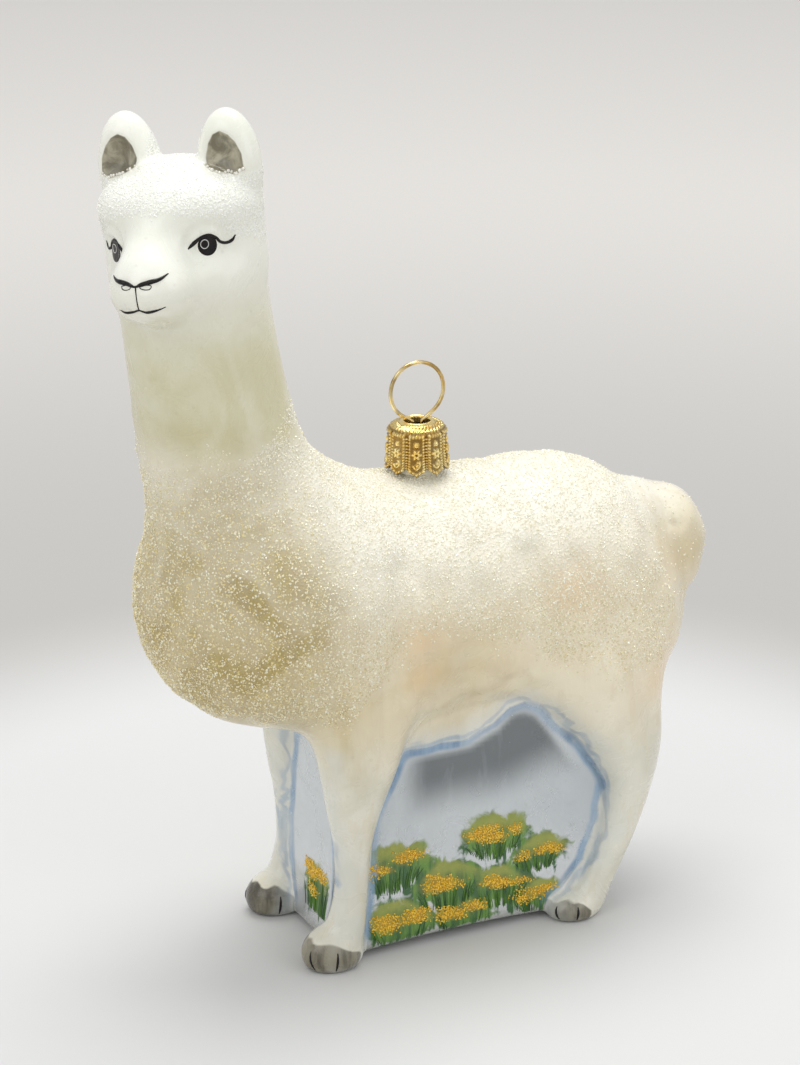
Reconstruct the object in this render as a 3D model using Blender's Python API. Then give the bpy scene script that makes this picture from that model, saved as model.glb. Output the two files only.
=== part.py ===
"""A blown-glass llama tree ornament: one glass figure, a stamped crown cap and a wire hanger.

The glass is modelled whole, as balls and rows of balls melted together, and is then parted
with thin cuts into the parts a person would name. Lengths are in millimetres until an object
is finished, when its mesh is brought to metres. The llama faces -Y, its left side is +X.
"""
from math import cos, pi, radians, sin

import bmesh
import bpy
import numpy as np
from mathutils import Matrix, Vector

MM = 0.001

# ---- driving dimensions, millimetres and degrees
GAP = 0.3                  # clear space between two neighbouring nodes
VOXEL = 0.9                # size of the cells that fuse the rough balls
GLASS_TRIANGLES = 4300     # faces left on the whole glass figure

HEAD_MIDDLE = (0.3, -18.6, 116.0)
HEAD_TURN = 43.0           # the head looks towards the llama's own left
HEAD_TILT = 6.5            # its left side is lifted
HEAD_LIFT = 2.0            # the nose is raised

CAP_Y = 19.4               # the cap's axis stands over the middle of the back
FOOT_FRONT_X = 10.9
FOOT_HIND_X = 12.1
LEG_TOP = 34.5             # level of the cut between the trunk and what it stands on
HOOF_TOP = 4.7
UNDERSIDE = 0.6            # the panel block between the legs clears the floor by this at its ends
UNDERSIDE_ARCH = 0.8       # and by this much more in the middle of its length
PANEL_SIDE = 12.1          # half its width at the floor
PANEL_FRONT = 0.2
PANEL_REAR = 43.0
PANEL_REAR_LEAN = 0.4      # its rear face leans back up to the hocks
PANEL_REAR_BEND = 21.0
BOX_MIDDLE_Y = 18.56       # middle of the whole length; the finished origin stands here

PIKE_FOOT = 75.2           # the glass neck stub the cap sits on
PIKE_TOP = 81.4
PIKE_RADIUS = 3.6
PIKE_BORE = 2.8

CAP_FOOT = 75.3
CAP_TOP = 82.6
CAP_RADIUS = 4.9           # at the petals' tips; the crown is a little narrower
CAP_CROWN_RADIUS = 4.65
CAP_WALL = 0.55
CAP_PETALS = 9
PETAL_DEPTH = 0.22         # how far the grooves between the petals sink in
PETAL_DROP = 0.9           # how far the petal tips hang below the grooves
EYELET = 2.0               # radius of the round hole in the crown
EYELET_RIM = 0.4           # the hole's rim stands up by this

WIRE = 0.55                # thickness of the hanger wire
RING_RADIUS = 4.45         # to the middle of the wire
RING_MIDDLE = 87.6
RING_MOUTH = 35.0          # the ring opens this many degrees either side of its lowest point
LEG_APART = 0.75           # from the cap's axis to each wire leg, where it enters the cap
LEG_SPREAD = 1.9           # from the cap's axis to each wire leg's lower end
LEG_FOOT = 77.4

COLOURS = {
    "glass": (0.86, 0.83, 0.74, 1.0),
    "hoof": (0.42, 0.41, 0.39, 1.0),
    "eye": (0.02, 0.02, 0.02, 1.0),
    "panel": (0.55, 0.62, 0.70, 1.0),
    "gold": (0.85, 0.62, 0.25, 1.0),
}


# ---- the smooth figure, as distances from balls and rows of balls

def melt(a, b, reach):
    """The nearer of two distances, rounded over where they are within reach of each other."""
    share = np.clip(reach - np.abs(a - b), 0.0, None) / reach
    return np.minimum(a, b) - share ** 3 * reach / 6.0


def carve(a, b, reach):
    """The distance to a with b taken out of it, the edge rounded by reach."""
    return -melt(-a, b, reach)


def ball(points, centre, radii, axes=None):
    """About how far each point is outside an egg with these radii along the axes."""
    away = points - np.array(centre, float)
    if axes is not None:
        away = away @ axes.T
    radii = np.array(radii, float)
    scaled = np.linalg.norm(away / radii, axis=1)
    steep = np.linalg.norm(away / radii ** 2, axis=1)
    return scaled * (scaled - 1.0) / np.maximum(steep, 1e-6)


def along(stations, steps=4):
    """A smooth run of (x, y, z, radius) through the stations."""
    stations = np.array(stations, float)
    first = 2 * stations[0] - stations[1]
    last = 2 * stations[-1] - stations[-2]
    padded = np.vstack([first, stations, last])
    run = []
    for before, start, end, after in zip(padded, padded[1:], padded[2:], padded[3:]):
        for t in np.arange(steps) / steps:
            bend = 2 * before - 5 * start + 4 * end - after
            twist = -before + 3 * start - 3 * end + after
            run.append(start + 0.5 * ((end - before) * t + bend * t * t + twist * t ** 3))
    run.append(stations[-1])
    return np.array(run)


def row(points, stations):
    """How far each point is outside a row of balls joined by tapering lengths."""
    nearest = None
    run = along(stations)
    for start, end in zip(run, run[1:]):
        length = np.linalg.norm(end[:3] - start[:3])
        away = points - start[:3]
        forth = away @ (end[:3] - start[:3]) / length
        out = np.sqrt(np.maximum((away * away).sum(1) - forth * forth, 0.0))
        slope = np.clip((start[3] - end[3]) / length, -0.99, 0.99)
        level = np.sqrt(1.0 - slope * slope)
        place = forth * level - out * slope
        side = out * level + forth * slope - start[3]
        low = np.hypot(out, forth) - start[3]
        high = np.hypot(out, forth - length) - end[3]
        gap = np.where(place < 0.0, low, np.where(place > level * length, high, side))
        nearest = gap if nearest is None else np.minimum(nearest, gap)
    return nearest


def head_axes():
    """The head's own left, forward and up directions, as rows."""
    turn, tilt, lift = radians(HEAD_TURN), radians(HEAD_TILT), radians(HEAD_LIFT)
    forward = np.array([sin(turn) * cos(lift), -cos(turn) * cos(lift), sin(lift)])
    left = np.array([cos(turn), sin(turn), 0.0])
    up = np.cross(left, -forward)
    return np.array([left * cos(tilt) + up * sin(tilt), forward, up * cos(tilt) - left * sin(tilt)])


HEAD = head_axes()


def in_head(left, forward, up):
    """The place of a point given in the head's own directions."""
    return np.array(HEAD_MIDDLE) + np.array([left, forward, up], float) @ HEAD


def head_row(*stations):
    """Stations given as left, forward, up and radius in the head's directions."""
    return [tuple(in_head(*station[:3])) + (station[3],) for station in stations]


TRUNK = (
    ("chest", (0.0, -3.6, 58.4), (19.5, 22.6, 20.5)),
    ("barrel", (0.0, 19.0, 54.4), (18.5, 30.0, 20.5)),
    ("loin", (0.0, 40.0, 53.6), (17.5, 21.5, 20.5)),
    ("rump", (0.0, 47.5, 48.6), (16.0, 17.5, 17.0)),
)
TAIL = (
    ("tail", (0.0, 62.1, 56.4), (8.5, 7.4, 9.8)),
    ("tail_root", (0.0, 55.0, 60.5), (8.0, 8.0, 7.5)),
)
NECK = ((0.0, -7.5, 65.0, 15.5), (0.0, -12.0, 79.0, 12.7), (0.2, -14.9, 93.0, 11.5),
        (0.3, -17.3, 110.0, 11.0))
SKULL = ((0.0, -1.2, -0.5), (12.2, 10.0, 12.3))
TOPKNOT = ((0.0, -0.9, 5.0), (12.2, 10.4, 6.0))
MUZZLE = ((0.0, 11.4, -5.0), (6.1, 5.2, 4.9))
BRIDGE = ((0.0, 3.4, 4.2, 5.0), (0.0, 11.2, -2.4, 3.9))
JAW = ((0.0, 1.0, -3.6, 9.4), (0.0, 7.6, -4.4, 6.1))
EAR = ((8.0, -2.4, 10.2), (4.9, 3.8, 8.4))
EAR_CUP = ((8.1, 2.1, 11.9), (3.9, 2.4, 4.6))
EYE_HOLLOW = ((8.7, 8.9, 0.3), (3.2, 2.5, 3.2))
EYE_LINE = (7.1, 6.3, 0.2)


def front_leg(side):
    """The upper arm, knee and shank of a front leg, down to the hoof."""
    x = FOOT_FRONT_X * side
    return ((0.80 * x, 6.0, 45.0, 8.8), (0.97 * x, 4.3, 35.0, 6.6), (1.04 * x, 3.1, 27.0, 4.5),
            (1.04 * x, 2.8, 20.0, 3.1), (1.02 * x, 2.6, 12.0, 2.75), (1.01 * x, 1.6, 6.0, 3.2),
            (x, 0.6, 3.0, 3.6))


def hind_leg(side):
    """The thigh, hock and shank of a hind leg, down to the hoof."""
    x = FOOT_HIND_X * side
    return ((0.66 * x, 45.5, 42.0, 11.0), (0.88 * x, 49.7, 30.0, 7.0), (0.98 * x, 50.6, 21.5, 4.2),
            (x, 48.8, 13.5, 3.1), (x, 46.0, 7.0, 2.8), (x, 44.0, 3.0, 3.0))


def hooves(side):
    """Centre and radii of the front and the hind hoof."""
    front = ((FOOT_FRONT_X * side, -0.6, 2.4), (4.3, 5.0, 4.2))
    hind = ((FOOT_HIND_X * side, 41.2, 1.6), (3.8, 4.6, 3.0))
    return front, hind


def panel_block(points):
    """The waisted block of glass that fills the space between the four legs."""
    x, y, z = points.T
    waist = np.sin(pi * np.clip(z / 36.0, 0.0, 1.0)) ** 0.8
    sides = np.abs(x) - (PANEL_SIDE - waist)
    front = PANEL_FRONT + waist - y
    rear = y - (PANEL_REAR + PANEL_REAR_LEAN * np.minimum(z, PANEL_REAR_BEND))
    body = carve(carve(sides, -front, 2.0), -rear, 2.0)
    share = np.clip((y - PANEL_FRONT) / (PANEL_REAR - PANEL_FRONT), 0.0, 1.0)
    body = carve(body, z - UNDERSIDE - UNDERSIDE_ARCH * np.sin(pi * share), 2.2)
    return carve(body, 44.0 - z, 3.0)


def on_head(points, shape):
    """Distance to a ball given in the head's own directions."""
    return ball(points, in_head(*shape[0]), shape[1], HEAD)


def on_side(shape, side):
    """The same ball on the left (1) or the right (-1)."""
    (left, forward, up), radii = shape
    return (left * side, forward, up), radii


def head_shape(points):
    """Skull, nose bridge, jaw and muzzle, with the eye hollows, the topknot and both ears."""
    gap = melt(on_head(points, SKULL), row(points, head_row(*JAW)), 4.0)
    gap = melt(gap, row(points, head_row(*BRIDGE)), 4.0)
    gap = melt(gap, on_head(points, MUZZLE), 3.5)
    for side in (-1, 1):
        gap = carve(gap, on_head(points, on_side(EYE_HOLLOW, side)), 2.5)
    gap = melt(gap, on_head(points, TOPKNOT), 4.0)
    for side in (-1, 1):
        ear = on_head(points, on_side(EAR, side))
        ear = carve(ear, on_head(points, on_side(EAR_CUP, side)), 0.8)
        gap = melt(gap, ear, 1.6)
    return gap


def glass(points):
    """How far each point is outside the whole glass figure."""
    gap = ball(points, *TRUNK[0][1:])
    for (name, centre, radii), reach in zip(TRUNK[1:], (8.0, 8.0, 5.0)):
        gap = melt(gap, ball(points, centre, radii), reach)
    gap = melt(gap, row(points, NECK), 9.0)
    gap = melt(gap, head_shape(points), 4.5)
    tail = melt(ball(points, *TAIL[0][1:]), ball(points, *TAIL[1][1:]), 4.0)
    gap = melt(gap, tail, 2.5)
    for side in (-1, 1):
        front_hoof, hind_hoof = hooves(side)
        front = melt(row(points, front_leg(side)), ball(points, *front_hoof), 2.0)
        hind = melt(row(points, hind_leg(side)), ball(points, *hind_hoof), 1.5)
        gap = melt(gap, np.minimum(front, hind), 8.0)
    gap = melt(gap, panel_block(points), 1.3)
    return carve(gap, points[:, 2], 0.6)


def downhill(points):
    """Unit direction in which the distance to the glass grows, at each point."""
    step = 0.02
    slope = np.empty_like(points)
    for axis in range(3):
        nudge = np.zeros(3)
        nudge[axis] = step
        slope[:, axis] = glass(points + nudge) - glass(points - nudge)
    return slope / np.maximum(np.linalg.norm(slope, axis=1), 1e-9)[:, None]


# ---- helpers for meshes

def new_object(name, mesh):
    item = bpy.data.objects.new(name, mesh)
    bpy.context.scene.collection.objects.link(item)
    return item


def mesh_from(name, build):
    """A mesh filled by a function that works on an open bmesh."""
    mesh = bpy.data.meshes.new(name)
    work = bmesh.new()
    build(work)
    bmesh.ops.recalc_face_normals(work, faces=work.faces)
    work.to_mesh(mesh)
    work.free()
    return mesh


def evaluated(item, name):
    """The object's mesh with its modifiers worked in; the object itself is removed."""
    graph = bpy.context.evaluated_depsgraph_get()
    mesh = bpy.data.meshes.new_from_object(item.evaluated_get(graph))
    mesh.name = name
    item.modifiers.clear()
    bpy.data.objects.remove(item)
    return mesh


def block_mesh(low, high, axes=None, origin=(0.0, 0.0, 0.0)):
    """A box between two corners, measured along the given axes from the origin."""
    low, high = np.array(low, float), np.array(high, float)
    turn = Matrix([list(column) for column in np.array(axes).T]) if axes is not None else Matrix.Identity(3)
    size = Matrix.Diagonal(Vector(high - low)).to_4x4()
    place = Matrix.Translation(Vector(origin)) @ turn.to_4x4() @ Matrix.Translation(Vector((low + high) / 2)) @ size

    def build(work):
        bmesh.ops.create_cube(work, size=1.0, matrix=place)
    return mesh_from("cutter", build)


def add_wedge(work, x_low, x_high, outline):
    """Adds a block between two x values whose side view is the outline of (y, z) corners."""
    corners = [work.verts.new((x_low, y, z)) for y, z in outline]
    face = work.faces.new(corners)
    grown = bmesh.ops.extrude_face_region(work, geom=[face])["geom"]
    moved = [item for item in grown if isinstance(item, bmesh.types.BMVert)]
    bmesh.ops.translate(work, verts=moved, vec=(x_high - x_low, 0.0, 0.0))
    bmesh.ops.recalc_face_normals(work, faces=work.faces)


def wedge_mesh(x_low, x_high, outline):
    """The same block as a mesh of its own."""
    return mesh_from("cutter", lambda work: add_wedge(work, x_low, x_high, outline))


def cut(mesh, cutter, operation):
    """The mesh with the cutter taken out of it, or only what lies inside the cutter."""
    item = new_object("work", mesh)
    tool = new_object("tool", cutter)
    tool.hide_render = True
    tool.display_type = "WIRE"
    boolean = item.modifiers.new("cut", "BOOLEAN")
    boolean.operation = operation
    boolean.solver = "EXACT"
    boolean.object = tool
    result = evaluated(item, mesh.name)
    bpy.data.objects.remove(tool)
    return result


def part_of(whole, keep=(), drop=()):
    """The share of the whole inside every keep block and outside every drop block."""
    mesh = whole.copy()
    for cutter in keep:
        mesh = cut(mesh, cutter(), "INTERSECT")
    for cutter in drop:
        mesh = cut(mesh, cutter(), "DIFFERENCE")
    return mesh


MATERIALS = {}


def material(kind):
    """The plain material of this kind, made once."""
    if kind not in MATERIALS:
        made = bpy.data.materials.new(kind)
        made.use_nodes = True
        surface = made.node_tree.nodes["Principled BSDF"]
        surface.inputs["Base Color"].default_value = COLOURS[kind]
        surface.inputs["Metallic"].default_value = 1.0 if kind == "gold" else 0.0
        surface.inputs["Roughness"].default_value = 0.25
        made.diffuse_color = COLOURS[kind]
        MATERIALS[kind] = made
    return MATERIALS[kind]


def finish(name, mesh, kind, parent, origin=(0.0, 0.0, 0.0)):
    """Turns a millimetre mesh into the named object, its own origin at the given place."""
    mesh.transform(Matrix.Translation(-Vector(origin)))
    mesh.transform(Matrix.Scale(MM, 4))
    mesh.name = name
    mesh.materials.clear()
    mesh.materials.append(material(kind))
    mesh.shade_smooth()
    mesh.set_sharp_from_angle(angle=radians(35.0))
    item = new_object(name, mesh)
    item.parent = parent
    item.location = (Vector(origin) - Vector(parent["place"])) * MM
    item["place"] = origin
    return item


# ---- the glass figure

def add_ball(work, centre, radii, axes=None, finer=3):
    """A rough ball that the fused mesh starts from."""
    turn = Matrix([list(column) for column in axes.T]).to_4x4() if axes is not None else Matrix.Identity(4)
    place = Matrix.Translation(Vector(centre)) @ turn @ Matrix.Diagonal(Vector(radii)).to_4x4()
    bmesh.ops.create_icosphere(work, subdivisions=finer, radius=1.0, matrix=place)


def rough_figure(work):
    """All balls of the figure, overlapping, before they are fused."""
    for name, centre, radii in TRUNK + TAIL:
        add_ball(work, centre, radii)
    rows = [NECK, head_row(*BRIDGE), head_row(*JAW)]
    for side in (-1, 1):
        rows += [front_leg(side), hind_leg(side)]
        for centre, radii in hooves(side):
            add_ball(work, centre, radii)
        place, radii = on_side(EAR, side)
        add_ball(work, in_head(*place), radii, HEAD)
    for place, radii in (SKULL, TOPKNOT, MUZZLE):
        add_ball(work, in_head(*place), radii, HEAD)
    for stations in rows:
        for x, y, z, radius in along(stations):
            add_ball(work, (x, y, z), (radius, radius, radius), finer=2)
    rear = PANEL_REAR + PANEL_REAR_LEAN * PANEL_REAR_BEND
    outline = ((PANEL_FRONT, UNDERSIDE), (PANEL_REAR, UNDERSIDE), (rear, PANEL_REAR_BEND), (rear, 40.0),
               (PANEL_FRONT, 40.0))
    add_wedge(work, -PANEL_SIDE + 0.6, PANEL_SIDE - 0.6, outline)


def settle(mesh, rounds):
    """Moves every vertex onto the smooth figure, evening the mesh out on the way."""
    work = bmesh.new()
    work.from_mesh(mesh)
    for turn in range(rounds):
        if turn < rounds - 3:
            bmesh.ops.smooth_vert(work, verts=work.verts, factor=0.5,
                                  use_axis_x=True, use_axis_y=True, use_axis_z=True)
        places = np.array([vertex.co[:] for vertex in work.verts])
        move = np.clip(glass(places), -1.0, 1.0)[:, None] * downhill(places)
        for vertex, step in zip(work.verts, move):
            vertex.co -= Vector(step)
    work.to_mesh(mesh)
    work.free()


def whole_glass():
    """The complete figure as one closed mesh with few enough faces."""
    rough = new_object("rough", mesh_from("rough", rough_figure))
    fuse = rough.modifiers.new("fuse", "REMESH")
    fuse.mode = "VOXEL"
    fuse.voxel_size = VOXEL
    fuse.adaptivity = 0.0
    fine = evaluated(rough, "fine")
    settle(fine, 8)
    fine = new_object("fine", fine)
    thin = fine.modifiers.new("thin", "DECIMATE")
    thin.decimate_type = "COLLAPSE"
    thin.ratio = GLASS_TRIANGLES / (2.0 * len(fine.data.polygons))
    thin.use_collapse_triangulate = True
    return evaluated(fine, "glass")


def surface_point(start, direction):
    """Where a straight way out of the glass leaves it, and the outward direction there."""
    near, far = 0.0, 30.0
    for halving in range(40):
        middle = (near + far) / 2.0
        outside = glass((start + direction * middle)[None])[0] > 0.0
        near, far = (near, middle) if outside else (middle, far)
    place = start + direction * near
    return place, downhill(place[None])[0]


def eye_plug(side, margin):
    """A short round cutter set into the head where an eye is."""
    left, forward, up = EYE_LINE
    aim = np.array([0.72 * side, 0.69, 0.0]) @ HEAD
    start = in_head(left * side, forward, up) - 4.0 * aim
    place, out = surface_point(start, aim)
    tall = np.cross(HEAD[0], out)
    tall = -tall if tall @ HEAD[2] < 0.0 else tall
    tall /= np.linalg.norm(tall)
    wide = np.cross(tall, out)
    turn = Matrix([list(column) for column in np.array([wide, tall, out]).T]).to_4x4()
    depth = 3.2 + 2.0 * margin
    size = Matrix.Diagonal((1.45 + margin, 1.6 + margin, 1.0, 1.0))
    spin = Matrix.Translation(Vector(place)) @ turn @ size

    def build(work):
        bmesh.ops.create_cone(work, cap_ends=True, segments=20, radius1=1.0, radius2=1.0,
                              depth=depth, matrix=spin)
    return mesh_from("cutter", build)


def ear_block(side, margin):
    """A block above the sloping foot of one ear."""
    slope = radians(14.5) * side
    out = HEAD[0] * cos(slope) * side - HEAD[2] * sin(slope) * side
    up = HEAD[2] * cos(slope) + HEAD[0] * sin(slope)
    axes = np.array([out, HEAD[1], up])
    foot = in_head(2.8 * side, 0.0, 11.6)
    return block_mesh((-3.5 - margin, -9.0, -margin), (16.0, 9.0, 16.0), axes, foot)


def leg_wedge(front, side, margin, low, high):
    """The block between two levels that holds one leg; its inner face slopes with the leg."""
    near, far = (-20.0, 5.2 + margin) if front else (75.0, 36.2 - margin)
    lean = 0.15 if front else 0.18
    outline = ((near, low), (far + lean * low, low), (far + lean * high, high), (near, high))
    inner, outer = sorted((side * (6.9 - margin), side * 30.0))
    return wedge_mesh(inner, outer, outline)


def slab(low, high):
    """Everything between two levels."""
    return lambda: block_mesh((-60.0, -60.0, low), (60.0, 100.0, high))


def beyond(point, normal, shift):
    """Everything past a tilted plane, moved along its normal by shift."""
    normal = Vector(normal).normalized()
    axes = np.array([(1.0, 0.0, 0.0), Vector(normal).cross((1.0, 0.0, 0.0))[:], normal[:]])
    return lambda: block_mesh((-80.0, -120.0, shift), (80.0, 120.0, 200.0), axes, point)


def glass_parts(root):
    """Cuts the figure into its named parts."""
    whole = whole_glass()
    half = GAP / 2.0
    neck_foot = ((0.0, -12.0, 79.0), (0.0, -0.27, 0.96))
    neck_top = ((0.0, -17.0, 104.4), (0.0, 0.0, 1.0))
    tail_root = ((0.0, 58.0, 66.5), (0.0, 0.9, 0.43))
    ears = {"left": 1, "right": -1}

    drop = []
    for name, side in ears.items():
        eye = part_of(whole, [slab(100.0, 130.0), lambda: eye_plug(side, -half)])
        finish("eye_" + name, eye, "eye", root)
        ear = part_of(whole, [lambda: ear_block(side, -half)])
        finish("ear_" + name, ear, "glass", root)
        drop.append(lambda side=side: ear_block(side, half))
        drop.append(lambda side=side: eye_plug(side, half))
    finish("head", part_of(whole, [beyond(*neck_top, half)], drop), "glass", root)
    finish("neck", part_of(whole, [beyond(*neck_foot, half)], [beyond(*neck_top, -half)]), "glass", root)
    finish("tail", part_of(whole, [beyond(*tail_root, half)]), "glass", root)
    finish("trunk", part_of(whole, [slab(LEG_TOP + half, 95.0)],
                            [beyond(*neck_foot, -half), beyond(*tail_root, -half)]), "glass", root)

    wedges = []
    for name, side in ears.items():
        for place, front in (("front", True), ("hind", False)):
            def wedge(low, high, margin=-half, front=front, side=side):
                return lambda: leg_wedge(front, side, margin, low, high)
            wedges.append(wedge(-4.0, LEG_TOP + 3.0, half))
            leg = part_of(whole, [wedge(HOOF_TOP + half, LEG_TOP - half)])
            finish("leg_" + place + "_" + name, leg, "glass", root)
            hoof = part_of(whole, [wedge(-3.0, HOOF_TOP - half)])
            finish("hoof_" + place + "_" + name, hoof, "hoof", root)
    finish("panel_block", part_of(whole, [slab(-5.0, LEG_TOP - half)], wedges), "panel", root)
    bpy.data.meshes.remove(whole)


# ---- the stub, the cap and the hanger

def turned(profile, segments):
    """A closed (radius, z) outline spun round the Z axis."""
    def build(work):
        corners = [work.verts.new((radius, 0.0, z)) for radius, z in profile]
        edges = [work.edges.new(pair) for pair in zip(corners, corners[1:] + corners[:1])]
        bmesh.ops.spin(work, geom=corners + edges, axis=(0.0, 0.0, 1.0), cent=(0.0, 0.0, 0.0),
                       angle=2.0 * pi, steps=segments, use_merge=True)
    return build


def pike(root):
    """The open glass stub on the back."""
    profile = ((PIKE_BORE, PIKE_FOOT), (PIKE_RADIUS, PIKE_FOOT), (PIKE_RADIUS, PIKE_TOP),
               (PIKE_BORE, PIKE_TOP))
    mesh = mesh_from("pike", turned(profile, 32))
    mesh.transform(Matrix.Translation((0.0, CAP_Y, 0.0)))
    return finish("pike", mesh, "glass", root, (0.0, CAP_Y, PIKE_FOOT))


def cap_shape(work):
    """A thin stamped cup with a rounded crown, a rimmed eyelet and a skirt of hanging petals."""
    shoulder = CAP_TOP - 1.0
    steps = 4
    levels = [CAP_FOOT + (shoulder - CAP_FOOT) * step / steps for step in range(steps + 1)]
    outer = [CAP_RADIUS + (CAP_CROWN_RADIUS - CAP_RADIUS) * step / steps for step in range(steps + 1)]
    profile = list(zip(outer, levels))
    profile += [(CAP_CROWN_RADIUS - 0.4, CAP_TOP - 0.3), (CAP_CROWN_RADIUS - 1.0, CAP_TOP)]
    profile += [(EYELET + 0.7, CAP_TOP), (EYELET + 0.5, CAP_TOP + EYELET_RIM), (EYELET, CAP_TOP + EYELET_RIM)]
    profile += [(EYELET, CAP_TOP - CAP_WALL), (CAP_CROWN_RADIUS - 1.3, CAP_TOP - CAP_WALL)]
    profile += [(radius - CAP_WALL, z) for radius, z in reversed(profile[:steps + 1])]
    turned(profile, CAP_PETALS * 4)(work)
    for vertex in work.verts:
        x, y, z = vertex.co
        radius = np.hypot(x, y)
        if z > shoulder + 0.1 or radius < EYELET + 1.0:
            continue
        wave = 1.0 - abs(cos(CAP_PETALS / 2.0 * np.arctan2(y, x)))
        low = 1.0 - (z - CAP_FOOT) / (shoulder - CAP_FOOT)
        shrink = 1.0 - PETAL_DEPTH * wave / radius
        vertex.co = (x * shrink, y * shrink, z + PETAL_DROP * wave * low ** 2)


def cap(root):
    """The gold cap, whose eyelet lets the hanger's legs through."""
    mesh = mesh_from("cap", cap_shape)
    mesh.transform(Matrix.Translation((0.0, CAP_Y, 0.0)))
    return finish("cap", mesh, "gold", root, (0.0, CAP_Y, CAP_FOOT))


def hanger_route():
    """Points of the wire in the (y, z) plane: one leg, round the ring, the other leg."""
    mouth = radians(RING_MOUTH)
    turns = 40
    ring = []
    for step in range(turns + 1):
        angle = mouth + (2.0 * pi - 2.0 * mouth) * step / turns
        ring.append((RING_RADIUS * sin(angle), RING_MIDDLE - RING_RADIUS * cos(angle)))
    start_y, start_z = ring[0]
    entry = start_z - (start_y - LEG_APART) * sin(mouth) / cos(mouth)
    leg = [(LEG_SPREAD, LEG_FOOT), (LEG_SPREAD - 0.1, LEG_FOOT + 1.2), (LEG_APART + 0.45, CAP_TOP - 2.2),
           (LEG_APART + 0.1, CAP_TOP - 1.2), (LEG_APART, entry - 0.35), (LEG_APART + 0.12, entry + 0.08)]
    return leg + ring + [(-y, z) for y, z in reversed(leg)]


def hanger(cap_item):
    """The gold wire ring whose two legs go down through the cap into the stub."""
    axis = (0.0, CAP_Y, CAP_TOP)
    curve = bpy.data.curves.new("hanger", "CURVE")
    curve.dimensions = "3D"
    curve.bevel_depth = WIRE / 2.0
    curve.bevel_resolution = 2
    curve.use_fill_caps = True
    route = hanger_route()
    line = curve.splines.new("POLY")
    line.points.add(len(route) - 1)
    for point, (y, z) in zip(line.points, route):
        point.co = (0.0, y + CAP_Y, z, 1.0)
    mesh = evaluated(new_object("wire", curve), "hanger")
    return finish("hanger", mesh, "gold", cap_item, axis)


def empty(name):
    """An empty that carries the glass parts."""
    item = bpy.data.objects.new(name, None)
    bpy.context.scene.collection.objects.link(item)
    item["place"] = (0.0, BOX_MIDDLE_Y, 0.0)
    return item


def main():
    for item in list(bpy.data.objects):
        bpy.data.objects.remove(item)
    root = empty("ornament")
    glass_parts(root)
    pike(root)
    hanger(cap(root))


main()
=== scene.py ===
"""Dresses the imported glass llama: the painted glass figure with its glitter coat and painted
face and hooves, the silvered panels with their meadow, the stamped cap and the wire hanger.

The figure's own sizes are in millimetres, in the frame it was shaped in; every finished piece
is brought to metres, with the origin on the floor under the middle of the figure's box. The
llama faces -Y and its left side is +X.
"""

from math import cos, pi, radians, sin

import bmesh
import bpy
import numpy as np
from mathutils import Matrix, Vector


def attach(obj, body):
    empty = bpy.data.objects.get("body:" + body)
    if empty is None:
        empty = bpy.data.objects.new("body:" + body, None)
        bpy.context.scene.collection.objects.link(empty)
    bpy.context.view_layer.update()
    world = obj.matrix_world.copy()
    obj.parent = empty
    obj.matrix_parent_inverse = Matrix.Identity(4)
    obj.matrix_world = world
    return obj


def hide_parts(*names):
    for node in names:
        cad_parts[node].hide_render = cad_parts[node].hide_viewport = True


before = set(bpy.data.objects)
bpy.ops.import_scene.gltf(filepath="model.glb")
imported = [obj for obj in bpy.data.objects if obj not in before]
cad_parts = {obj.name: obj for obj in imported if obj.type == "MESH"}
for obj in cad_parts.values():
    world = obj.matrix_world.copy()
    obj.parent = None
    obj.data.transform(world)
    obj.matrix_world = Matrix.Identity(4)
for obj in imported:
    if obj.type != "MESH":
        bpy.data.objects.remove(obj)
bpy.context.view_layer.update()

MM = 0.001
BOX_MIDDLE_Y = 18.56       # middle of the figure's whole length

# ---- sizes of the glass figure, millimetres and degrees
SKIN_DEPTH = 0.12          # the painted glass lies this far under the tips of the coat
SKIN_CELL = 0.72           # size of the cells that fuse the glass skin; half that on the head
HEAD_FOOT = 103.0          # the finer cells start at this height

HEAD_MIDDLE = (0.3, -18.6, 116.0)
HEAD_TURN = 43.0           # the head looks towards the llama's own left
HEAD_TILT = 6.5
HEAD_LIFT = 2.0

FOOT_FRONT_X = 10.9
FOOT_HIND_X = 12.1
UNDERSIDE = 0.6
UNDERSIDE_ARCH = 0.8
PANEL_SIDE = 12.1
PANEL_FRONT = 0.2
PANEL_REAR = 43.0
PANEL_REAR_LEAN = 0.4
PANEL_REAR_BEND = 21.0
PANEL_WAIST_TOP = 36.0     # the sides and the front draw in up to 1 mm below this height
PANEL_TOP = 44.0
ROUGH_PANEL_TOP = 40.0

# ---- sizes of the cap and the hanger
CAP_Y = 19.4
CAP_FOOT = 75.3
CAP_TOP = 82.6
CAP_SHOULDER = CAP_TOP - 1.3
CAP_RADIUS = 4.9
CAP_CROWN_RADIUS = 4.65
CAP_WALL = 0.45
CAP_PETALS = 9
PETAL_DROP = 1.15
PETAL_STEPS = 28           # steps round each petal
EYELET = 2.0
EYELET_RIM = 0.4
WIRE = 0.62
RING_RADIUS = 4.45
RING_MIDDLE = 87.6
RING_MOUTH = 35.0
LEG_APART = 0.75
LEG_SPREAD = 1.9
LEG_FOOT = 77.4


# ---- the smooth figure, as distances from balls and rows of balls

def melt(a, b, reach):
    """The nearer of two distances, rounded over where they are within reach of each other."""
    share = np.clip(reach - np.abs(a - b), 0.0, None) / reach
    return np.minimum(a, b) - share ** 3 * reach / 6.0


def carve(a, b, reach):
    """The distance to a with b taken out of it, the edge rounded by reach."""
    return -melt(-a, b, reach)


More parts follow.
